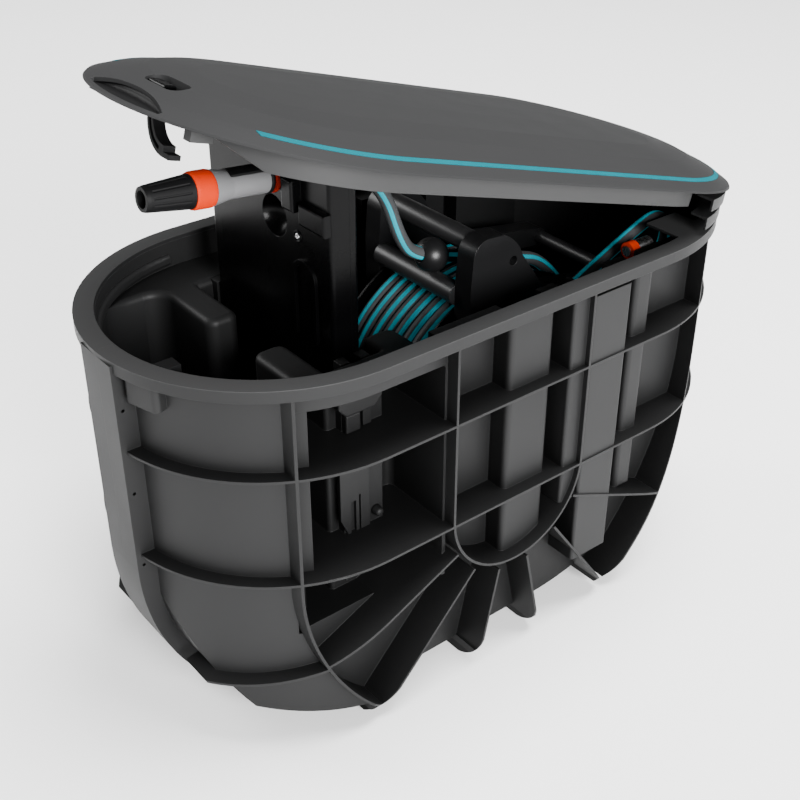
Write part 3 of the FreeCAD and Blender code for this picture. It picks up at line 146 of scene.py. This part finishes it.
def soft_edge(tree, radius):
    """The normal of slightly rounded edges, and how strongly the surface turns there."""
    normal = add_node(tree, "ShaderNodeBevel", {"samples": 4}, Radius=radius)
    flat = add_node(tree, "ShaderNodeNewGeometry", out=1)
    likeness = add_node(tree, "ShaderNodeVectorMath", {"operation": "DOT_PRODUCT"}, out=1, _0=normal, _1=flat)
    return normal, ((1.0 - likeness) * 2.2).math("MINIMUM", 1.0)


def moulded(name, colour, dark, rubbed_and_lit, rough, grain=1100.0, deep=0.00012, gleam=0.22, edge=0.9, hollow_shade=0.0,
            lit_above=None):
    """Moulded plastic with a fine spark-eroded grain, faint flow marks and edges rubbed a little lighter.

    Its hollows are darkened with painted shade where ambient occlusion finds them closed in, and above a given
    crown height it is lightened all over with painted light in the colour of its rubbed edges.
    """
    def paint(tree, place):
        normal, rim = soft_edge(tree, edge * MM)
        flow = noise(tree, place, 9.0, 3.0)
        fine = noise(tree, place, grain, 2.0, 0.6)
        pores = add_node(tree, "ShaderNodeTexVoronoi", Vector=place, Scale=grain * 0.7)
        shade = (flow * 0.8 + fine * 0.3 - 0.2).limited(0.0, 1.0)
        rubbed = rim * (noise(tree, place, 70.0, 3.0) * 0.7 + 0.3)
        tint = mixed(tree, shade, dark, colour)
        # Painted shade: hollows darkened where ambient occlusion finds little open space around them
        if hollow_shade:
            open_sky = add_node(tree, "ShaderNodeAmbientOcclusion", {"samples": 6}, out=1, Distance=0.16)
            hollow_shade_colour = tuple(channel * (1.0 - hollow_shade) for channel in dark)
            tint = mixed(tree, (open_sky * 1.5 - 0.35).limited(0.0, 1.0), hollow_shade_colour, tint)
        # Painted light: surfaces above the crown height, the top of the rim, are lightened towards the
        # rubbed-edge colour
        if lit_above:
            height = add_node(tree, "ShaderNodeSeparateXYZ", out=2, Vector=place)
            tint = mixed(tree, ((height - lit_above) * 900.0).limited(0.0, 0.6), tint, rubbed_and_lit)
        return {"Base Color": mixed(tree, rubbed, tint, rubbed_and_lit),
                "Roughness": flow * 0.14 + fine * 0.08 + (rough - 0.11) - rubbed * 0.08,
                "Normal": bump(tree, fine + pores * 0.6, 0.35, deep, normal)}
    return finish(name, {"Specular IOR Level": gleam}, paint)


def glossy(name, colour, dark, rough):
    """Smooth tinted plastic with slight mottling and hairline scuffs."""
    def paint(tree, place):
        normal, rim = soft_edge(tree, 0.5 * MM)
        mottle = noise(tree, place, 60.0, 3.0)
        scuff = add_node(tree, "ShaderNodeTexWave", {"bands_direction": "DIAGONAL"}, Vector=place, Scale=90.0,
                         Distortion=12.0, Detail=3.0)
        return {"Base Color": mixed(tree, mottle, dark, colour),
                "Roughness": scuff * 0.05 + mottle * 0.08 + rough - rim * 0.06,
                "Normal": bump(tree, mottle + scuff * 0.2, 0.06, 0.0002, normal)}
    return finish(name, {"Specular IOR Level": 0.03}, paint)


def metal(name, colour, dark, rough, lines):
    """Drawn or turned metal with fine lines and a little tarnish."""
    def paint(tree, place):
        line = add_node(tree, "ShaderNodeTexWave", {"bands_direction": "X"}, Vector=place, Scale=lines,
                        Distortion=3.0, Detail=2.0)
        tarnish = noise(tree, place, 140.0, 4.0)
        return {"Base Color": mixed(tree, tarnish, dark, colour),
                "Roughness": tarnish * 0.15 + line * 0.06 + rough,
                "Normal": bump(tree, line + tarnish * 0.4, 0.08, 0.0001)}
    return finish(name, {"Metallic": 1.0}, paint)


def hose_skin(name, colour, dark, glow=0.0):
    """Outer skin of the hose with its knitted texture and handling marks; its glow is painted light."""
    def paint(tree, place):
        weave = add_node(tree, "ShaderNodeTexVoronoi", {"feature": "DISTANCE_TO_EDGE"}, Vector=place, Scale=420.0)
        grime = noise(tree, place, 45.0, 4.0)
        tint = mixed(tree, grime, dark, colour)
        return {"Base Color": tint, "Roughness": grime * 0.2 + 0.38, "Emission Color": tint,
                "Normal": bump(tree, weave + grime * 0.2, 0.25, 0.0003)}
    return finish(name, {"Specular IOR Level": 0.08, "Emission Strength": glow}, paint)


# Finishes, each as its colour, its darker shade and, for moulded plastic, its rubbed edges, whose lighter colour
# also gives the shell's rim top painted light
# The shell's hollows are darkened with painted shade and its rim top is lightened with painted light
anthracite = moulded("anthracite_shell", (0.0128, 0.0129, 0.0131), (0.0104, 0.0105, 0.0107),
                     (0.036, 0.0362, 0.0365), 0.52, gleam=0.15, hollow_shade=0.75, lit_above=RIM - 1.2 * MM)
lid_grey = moulded("lid_grain", (0.0200, 0.0201, 0.0205), (0.0165, 0.0166, 0.0170),
                   (0.040, 0.0402, 0.0406), 0.6, grain=820.0, deep=0.0002, gleam=0.09)
cover_grey = moulded("cover_plate", (0.012, 0.0121, 0.0124), (0.0098, 0.0099, 0.0102),
                     (0.030, 0.0302, 0.0306), 0.5, gleam=0.12)
satin_black = moulded("satin_black", (0.0009, 0.0009, 0.001), (0.0006, 0.0006, 0.0007),
                      (0.005, 0.005, 0.0052), 0.27, grain=900.0, deep=0.00005, gleam=0.07)
reel_black = moulded("reel_black", (0.0068, 0.0068, 0.0071), (0.0050, 0.0050, 0.0053),
                     (0.018, 0.018, 0.0185), 0.36, grain=1000.0, deep=0.0001, gleam=0.25)
# A lighter, glossier copy of the reel's black for the bars: painted light
lit_bar_black = moulded("lit_bar_black", (0.016, 0.016, 0.0165), (0.012, 0.012, 0.0125),
                    (0.036, 0.036, 0.0365), 0.4, grain=1000.0, deep=0.0001, gleam=0.35)
grip_black = moulded("grip_black", (0.0035, 0.0035, 0.0037), (0.0025, 0.0025, 0.0027),
                     (0.014, 0.014, 0.0145), 0.55, grain=1300.0, deep=0.0002, gleam=0.1, edge=0.5)
turquoise = glossy("turquoise_trim", (0.0, 0.092, 0.114), (0.0, 0.080, 0.100), 0.6)
ring_orange = glossy("ring_orange", (0.42, 0.020, 0.0008), (0.37, 0.016, 0.0006), 0.4)
connector_red = glossy("connector_red", (0.34, 0.014, 0.002), (0.28, 0.010, 0.0015), 0.36)
grip_grey = moulded("grip_grey", (0.125, 0.125, 0.128), (0.108, 0.108, 0.111), (0.19, 0.19, 0.195), 0.42)
bright_steel = metal("bright_steel", (0.62, 0.62, 0.63), (0.46, 0.46, 0.47), 0.24, 300.0)
turned_brass = metal("turned_brass", (0.66, 0.46, 0.19), (0.48, 0.31, 0.11), 0.24, 500.0)
plated = metal("plated_zinc", (0.72, 0.72, 0.73), (0.55, 0.55, 0.56), 0.16, 240.0)
hose_dark = hose_skin("hose_grey", (0.046, 0.048, 0.050), (0.034, 0.036, 0.038))
# The turquoise lines glow faintly, painted light that keeps them bright in shade
hose_stripe = hose_skin("hose_turquoise", (0.0, 0.24, 0.30), (0.0, 0.19, 0.24), glow=0.16)

slot_finish = {"body": anthracite, "cover": cover_grey, "black": satin_black, "steel": bright_steel,
               "teal": turquoise, "orange": ring_orange, "red": connector_red, "grey": grip_grey,
               "silver": plated, "brass": turned_brass, "hose": hose_dark}
own_finish = {"lid_shell": lid_grey}
for skin, names in ((reel_black, ("reel_near_cheek", "reel_far_cheek", "stop_ball")),
                    (lit_bar_black, ("upper_bar", "lower_bar", "rear_handle")),
                    (grip_black, ("nozzle_tip", "nozzle_insert", "latch_hook", "latch_keeper"))):
    own_finish.update((name, skin) for name in names)
for entry in frame["record"]["subparts"]:
    node_skins = frame["nodes"][entry["node"]].data.materials
    node_skins.clear()
    node_skins.append(own_finish.get(entry["node"], slot_finish[entry["material_slot"]]))


# Pieces built from points
SIDES = 30
MERGE_WITHIN = 0.001 * MM


def from_rim(x, y, z):
    """A point given in millimetres, with its height counted from the top of the rim."""
    return Vector((x, y, z)) * MM + Vector((0, 0, RIM))


def circle(form, centre, side, up, radii):
    """Points round a centre, each at its own radius."""
    points = []
    for k, radius in enumerate(radii):
        a = 2.0 * math.pi * k / SIDES
        points.append(form.verts.new(centre + (side * math.cos(a) + up * math.sin(a)) * radius))
    return points


def loft(form, rows, smooth, second=()):
    """Faces between closed rows of points, with the sides that are smooth and those in the second colour."""
    count = len(rows[0])
    for a, b in zip(rows, rows[1:]):
        for k in range(count):
            corners = dict.fromkeys((a[k], a[(k + 1) % count], b[(k + 1) % count], b[k]))
            face = form.faces.new(list(corners))
            face.smooth = k in smooth
            face.material_index = int(k in second)


def close_ends(form, rows):
    form.faces.new(rows[0][::-1])
    form.faces.new(rows[-1])


def show(name, form, skins):
    """The form as a piece of the scene, with its finishes."""
    mesh = bpy.data.meshes.new(name)
    form.to_mesh(mesh)
    form.free()
    for skin in skins:
        mesh.materials.append(skin)
    piece = bpy.data.objects.new(name, mesh)
    bpy.context.scene.collection.objects.link(piece)
    return piece


def add_piece(name, form, skin, body):
    """A closed form that rides on a body."""
    bmesh.ops.remove_doubles(form, verts=form.verts, dist=MERGE_WITHIN)
    bmesh.ops.recalc_face_normals(form, faces=form.faces)
    piece = show(name, form, [skin])
    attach(piece, body)


# Hoses
HOSE = 8.0 * MM
STRIPE_PROUD = 0.15 * MM
STRIPE_SIDES = {0, 1, 2, 10, 11, 12, 20, 21, 22}
HOSE_RADII = [HOSE + (STRIPE_PROUD if k in STRIPE_SIDES else 0.0) for k in range(SIDES)]


def spline_points(points, name):
    """Points along a smooth NURBS line that a route's control points guide."""
    curve = bpy.data.curves.new(name, "CURVE")
    curve.dimensions = "3D"
    curve.resolution_u = 14
    spline = curve.splines.new("NURBS")
    spline.points.add(len(points) - 1)
    for point, place in zip(spline.points, points):
        point.co = (*place, 1.0)
    spline.order_u = 3
    spline.use_endpoint_u = True
    holder = bpy.data.objects.new(name, curve)
    mesh = bpy.data.meshes.new_from_object(holder)
    found = [v.co.copy() for v in mesh.vertices]
    bpy.data.objects.remove(holder)
    bpy.data.meshes.remove(mesh)
    return found


def hose(name, path):
    """Round hose along a path, with coloured lines that stand slightly proud of its skin."""
    form = bmesh.new()
    rings = []
    side = (path[1] - path[0]).normalized().orthogonal().normalized()
    for i, place in enumerate(path):
        ahead = (path[min(i + 1, len(path) - 1)] - path[max(i - 1, 0)]).normalized()
        side = (side - ahead * side.dot(ahead)).normalized()
        rings.append(circle(form, place, side, ahead.cross(side), HOSE_RADII))
    loft(form, rings, range(SIDES), STRIPE_SIDES)
    close_ends(form, rings)
    piece = show(name, form, [hose_dark, hose_stripe])
    return piece


nozzle_route = [from_rim(*p) for p in ((-4.4, -28.0, -8.0), (-29.1, -28.0, 0.0), (-50.3, -28.0, 21.2),
                                       (-75.0, -26.0, 97.3), (-128.4, -20.0, 136.1), (-175.0, -20.0, 136.1))]
nozzle_path = spline_points(nozzle_route, "nozzle_route")
nozzle_hose = hose("nozzle_hose_run", nozzle_path)
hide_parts("nozzle_hose")
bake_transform(nozzle_hose)

supply_route = [from_rim(*p) for p in ((75.0, -118.0, -180.0), (75.0, -118.0, -128.0), (104.0, -116.0, -86.0),
                                       (156.0, -114.0, -60.0), (210.0, -113.0, -38.0), (260.0, -110.0, -20.0),
                                       (304.0, -102.0, -15.0), (342.0, -94.0, -42.0), (355.0, -76.0, -92.0),
                                       (359.0, -58.0, -136.0), (360.0, -26.0, -170.0), (360.0, 10.0, -180.0),
                                       (360.0, 46.0, -180.0))]
supply_path = spline_points(supply_route, "supply_route")
supply_hose = hose("supply_hose_run", supply_path)
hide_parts("supply_hose")
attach(supply_hose, "tub")

DRUM = Vector((75.0 * MM, 0.0, RIM - 215.0 * MM))
WIND = 156.2 * MM
PITCH = 16.8 * MM
LOOPS = 6.5
STEPS = 16


def around(radius, angle, y):
    """Point round the drum's axle."""
    return DRUM + Vector((radius * math.cos(angle), y, radius * math.sin(angle)))


control = WIND / math.cos(math.pi / STEPS)
turns = [i / STEPS for i in range(int(LOOPS * STEPS) + 1)]
wind_route = [around(control, 2.0 * math.pi * t, PITCH * (t - LOOPS / 2.0)) for t in turns]
wind_path = spline_points(wind_route, "wind_route")
wound = hose("hose_winding_run", wind_path)
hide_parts("hose_winding")
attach(wound, "drum")

# The lead lies on the winding for a short bend and leaves it straight for the stop ball
LEAD_GAP = 0.6 * MM
LEAD = WIND + 2.0 * HOSE + LEAD_GAP
BEND = math.radians(34.0)
ball = nozzle_route[0]
reach = ball - DRUM
leave = math.atan2(reach.z, reach.x) - math.acos(LEAD / math.hypot(reach.x, reach.z))
lead_route = [around(LEAD, leave - BEND, ball.y), around(LEAD / math.cos(BEND / 2.0), leave - BEND / 2.0, ball.y),
              around(LEAD, leave, ball.y), ball]
lead_path = spline_points(lead_route, "lead_route")
lead = hose("hose_lead_run", lead_path)
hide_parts("hose_lead")
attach(lead, "tub")


# Small mouldings on the tub, the lid and the tower
def on_face(side, face):
    """Places an outline, given along the box and up from the rim, on an upright face of that side of the tub."""
    return lambda x, z, out: from_rim(x, side * (face + out), z)


def moulding(name, plan, place, deep, soften):
    """Flat outline raised by a depth, with softened edges."""
    form = bmesh.new()
    flat = form.faces.new([form.verts.new(place(u, v, 0.0)) for u, v in plan])
    grown = bmesh.ops.extrude_face_region(form, geom=[flat])["geom"]
    raised = [item for item in grown if isinstance(item, bmesh.types.BMVert)]
    bmesh.ops.translate(form, verts=raised, vec=place(0.0, 0.0, deep) - place(0.0, 0.0, 0.0))
    bmesh.ops.recalc_face_normals(form, faces=form.faces)
    bmesh.ops.bevel(form, geom=form.edges[:], offset=soften * MM, segments=3, profile=0.5, affect="EDGES",
                    clamp_overlap=True)
    add_piece(name, form, anthracite, "tub")


def turned(name, base, way, steps, skin, body):
    """Piece turned about a line, from steps of distance along it and radius; a radius of 0 closes it."""
    form = bmesh.new()
    way = way.normalized()
    side = way.orthogonal().normalized()
    rows = []
    for along, radius in steps:
        centre = base + way * along * MM
        if radius == 0.0:
            rows.append([form.verts.new(centre)] * SIDES)
        else:
            rows.append(circle(form, centre, side, way.cross(side), [radius * MM] * SIDES))
    loft(form, rows, range(SIDES))
    add_piece(name, form, skin, body)


FAIRING_STEPS = 24
FAIRING_LOW = -262.0
FAIRING_HIGH = -35.7
FAIRING_FALL = 0.5
FAIRING_FLAT_SIDES = 3
ROUND_STEPS = 6
ROUND_SHARE = 0.6
LEAST_ROUND = 0.05
MOST_ROUND = 8.0
WALL_BITE = 1.5
fairing_bends = [Vector(p) for p in ((-350.0, 129.9), (-337.7, 143.0), (-308.0, 140.9), (-286.0, 141.9))]


def fairing(name, side):
    """Fills the corner where the end wall of the tub runs into the waist ledge."""
    centre = Vector((END_CENTRE_X, 0.0))
    form = bmesh.new()
    rows = []
    for i in range(FAIRING_STEPS + 1):
        t = i / FAIRING_STEPS
        shares = ((1 - t) ** 3, 3 * t * (1 - t) ** 2, 3 * t * t * (1 - t), t ** 3)
        at = sum((bend * share for bend, share in zip(fairing_bends, shares)), Vector((0, 0)))
        out = ((at - centre).normalized() * (1.0 - t) + Vector((0.0, t))).normalized()
        thick = INNER_RADIUS - (at - centre).length
        high = FAIRING_HIGH - FAIRING_FALL * t
        turn = max(LEAST_ROUND, min(MOST_ROUND, ROUND_SHARE * thick))
        profile = [(0.0, FAIRING_LOW), (0.0, high - turn)]
        for k in range(1, ROUND_STEPS + 1):
            a = 0.5 * math.pi * k / ROUND_STEPS
            profile.append((turn * (1 - math.cos(a)), high - turn * (1 - math.sin(a))))
        profile += [(thick + WALL_BITE, high), (thick + WALL_BITE, FAIRING_LOW)]
        spots = [(at + out * inward, z) for inward, z in profile]
        rows.append([form.verts.new(from_rim(spot.x, side * spot.y, z)) for spot, z in spots])
    loft(form, rows, range(len(rows[0]) - FAIRING_FLAT_SIDES))
    close_ends(form, rows)
    add_piece(name, form, anthracite, "tub")


# Lid surface above its lip, as distance from the edge and height
lid_heights = ((0.0, 0.0), (1.5, 2.4), (17.0, 9.0), (24.0, 11.6), (61.0, 21.5))
MOUTH_STEPS = 14
MOUTH_HALF_WIDTH = 68.0
MOUTH_OUTER_RADIUS = 209.0
MOUTH_INNER_RADIUS = 200.0
MOUTH_INNER_CENTRE_X = -592.0
POCKET_LOW = 0.2
POCKET_FLOOR = 1.4
POCKET_WALL = 1.2
POCKET_COVER = 1.5
POCKET_ROUND_SHARE = 0.4
ROUND_MIDDLE = 0.3
POCKET_SMOOTH_SIDES = range(1, 5)


def mouth_pocket(name):
    """Floor and back wall inside the finger mouth at the lid's free end, drawn closed and opened with the lid."""
    opened = Matrix.Rotation(LID_OPENING, 3, "Y")
    form = bmesh.new()
    rows = []
    for i in range(2 * MOUTH_STEPS + 1):
        y = MOUTH_HALF_WIDTH * (i / MOUTH_STEPS - 1.0)
        outer_x = END_CENTRE_X - math.sqrt(MOUTH_OUTER_RADIUS ** 2 - y * y)
        inner_x = MOUTH_INNER_CENTRE_X + math.sqrt(MOUTH_INNER_RADIUS ** 2 - y * y)
        inset = RIM_HALF_WIDTH - math.hypot(inner_x - END_CENTRE_X, y)
        (i0, h0), (i1, h1) = next(pair for pair in zip(lid_heights, lid_heights[1:]) if pair[1][0] >= inset)
        top = h0 + (h1 - h0) * (inset - i0) / (i1 - i0) - POCKET_COVER
        turn = POCKET_ROUND_SHARE * (top - POCKET_FLOOR)
        middle = ROUND_MIDDLE * turn
        section = [(outer_x, POCKET_LOW), (outer_x, POCKET_FLOOR), (inner_x - turn, POCKET_FLOOR),
                   (inner_x - middle, POCKET_FLOOR + middle), (inner_x, POCKET_FLOOR + turn),
                   (inner_x, top), (inner_x + POCKET_WALL, top), (inner_x + POCKET_WALL, POCKET_LOW)]
        closed = [Vector((x, y, LID_LIP_Z + z)) for x, z in section]
        rows.append([form.verts.new((opened @ (p - LID_PIVOT) + LID_PIVOT) * MM) for p in closed])
    loft(form, rows, POCKET_SMOOTH_SIDES)
    close_ends(form, rows)
    add_piece(name, form, grip_black, "lid")


mouth_pocket("lid_mouth_pocket")

GUIDE_FACE = 142.15
SHOULDER_FACE = 145.15
PEG_X, PEG_Z = -178.0, -232.0
clip_plan = [(-229, -113), (-189, -113), (-189, -258), (-201.4, -258), (-201.4, -198), (-203.6, -198),
             (-203.6, -258), (-208, -258), (-208, -204), (-215, -204), (-215, -256), (-229, -224)]
shelf_plan = [(-234, -60), (-176, -60), (-176, -73), (-186, -84), (-224, -84), (-234, -73)]
block_plan = [(-222, -86), (-203, -86), (-203, -108.5), (-222, -108.5)]
tongue_plan = [(-197, -85), (-186, -85), (-186, -108.5), (-197, -108.5)]
rib_plan = [(-297, -113), (-288, -113), (-288, -244), (-297, -244)]
peg_steps = ((0.0, 0.0), (0.0, 6.6), (1.6, 6.2), (7.0, 5.4), (9.0, 4.6), (10.0, 3.0), (10.4, 0.0))
for side, word in ((-1.0, "near"), (1.0, "far")):
    guide = on_face(side, GUIDE_FACE)
    moulding(word + "_guide_clip", clip_plan, guide, deep=4.0, soften=0.5)
    moulding(word + "_guide_shelf", shelf_plan, guide, deep=13.0, soften=2.2)
    moulding(word + "_guide_block", block_plan, guide, deep=9.0, soften=1.8)
    moulding(word + "_guide_tongue", tongue_plan, guide, deep=5.0, soften=0.8)
    moulding(word + "_shoulder_rib", rib_plan, on_face(side, SHOULDER_FACE), deep=7.0, soften=2.4)
    turned(word + "_guide_peg", guide(PEG_X, PEG_Z, 0.0), Vector((0.0, side, 0.0)), peg_steps,
           anthracite, "tub")
    fairing(word + "_ledge_fairing", side)

SCREW_CLEAR = 0.1
screw_seat = from_rim(TOWER_FRONT_X - SCREW_CLEAR, -57.8, 85.3)
outwards = Vector((-1.0, 0.0, 0.0))
boss_steps = ((0.0, 0.0), (0.0, 7.0), (0.8, 6.8), (1.4, 6.2), (1.4, 5.0), (0.3, 4.6), (0.3, 0.0))
head_steps = ((0.35, 0.0), (0.35, 3.7), (1.2, 3.5), (1.7, 2.6), (1.8, 1.5), (0.9, 1.2), (0.9, 0.0))
turned("tower_screw_boss", screw_seat, outwards, boss_steps, satin_black, "tower")
turned("tower_screw_head", screw_seat, outwards, head_steps, plated, "tower")

NOZZLE_TILT = math.radians(5.5)
nozzle_root = from_rim(TOWER_FRONT_X, -20.0, 139.0)
nozzle_aim = Vector((-math.cos(NOZZLE_TILT), 0.0, math.sin(NOZZLE_TILT)))
tail_steps = ((9.1, 13.3), (9.1, 15.4), (9.9, 16.2), (13.0, 16.2), (13.8, 15.6), (13.8, 14.6), (9.1, 13.3))
turned("nozzle_tail_ring", nozzle_root, nozzle_aim, tail_steps, grip_black, "tower")

# Camera at the photograph's angle
SENSOR = 36.0
FOCAL_SHARE = 1255.6 / 800.0
camera_data = bpy.data.cameras.new("camera")
camera_data.sensor_width = SENSOR
camera_data.lens = FOCAL_SHARE * SENSOR
camera_data.clip_end = 30.0
camera = bpy.data.objects.new("camera", camera_data)
bpy.context.scene.collection.objects.link(camera)
right, up = Vector((0.7820, -0.6233, 0.0)), Vector((0.3312, 0.4155, 0.8471))
back = -Vector((0.5280, 0.6625, -0.5314))
aim = Matrix((right, up, back)).transposed().to_4x4()
camera.matrix_world = Matrix.Translation((-0.8696, -1.0544, 0.6319 + RIM)) @ aim
bpy.context.scene.camera = camera

# Studio
FLOOR = 6.0
FLOOR_DROP = 0.0006
floor_mesh = bpy.data.meshes.new("studio_floor")
floor_mesh.from_pydata([(-FLOOR, -FLOOR, 0), (FLOOR, -FLOOR, 0), (FLOOR, FLOOR, 0), (-FLOOR, FLOOR, 0)], [],
                       [(0, 1, 2, 3)])
floor = bpy.data.objects.new("studio_floor", floor_mesh)
floor.location.z = -FLOOR_DROP
bpy.context.scene.collection.objects.link(floor)


def pale_paint(tree, place):
    return {"Base Color": mixed(tree, noise(tree, place, 3.0), (0.95, 0.95, 0.95), (0.97, 0.97, 0.97))}


floor_mesh.materials.append(finish("pale_floor", {"Roughness": 0.9, "Specular IOR Level": 0.2}, pale_paint))

world = bpy.data.worlds.new("studio")
bpy.context.scene.world = world
world.use_nodes = True
sky = world.node_tree.nodes["Background"].inputs
sky["Color"].default_value = (1, 1, 1, 1)
sky["Strength"].default_value = 0.45


def soft_light(name, place, target, size, power):
    data = bpy.data.lights.new(name, "AREA")
    data.shape = "DISK"
    data.size = size
    data.energy = power
    lamp = bpy.data.objects.new(name, data)
    lamp.location = place
    lamp.rotation_euler = (Vector(target) - Vector(place)).to_track_quat("-Z", "Y").to_euler()
    bpy.context.scene.collection.objects.link(lamp)


soft_light("front", (-0.9, -4.8, 2.0), (0, 0, 0.3), 2.6, 850)
soft_light("top", (1.3, -0.5, 5.6), (0, 0, 0.4), 3.4, 800)
soft_light("back", (-2.5, 4.4, 3.0), (0, 0, 0.3), 2.6, 220)

bpy.context.view_layer.update()
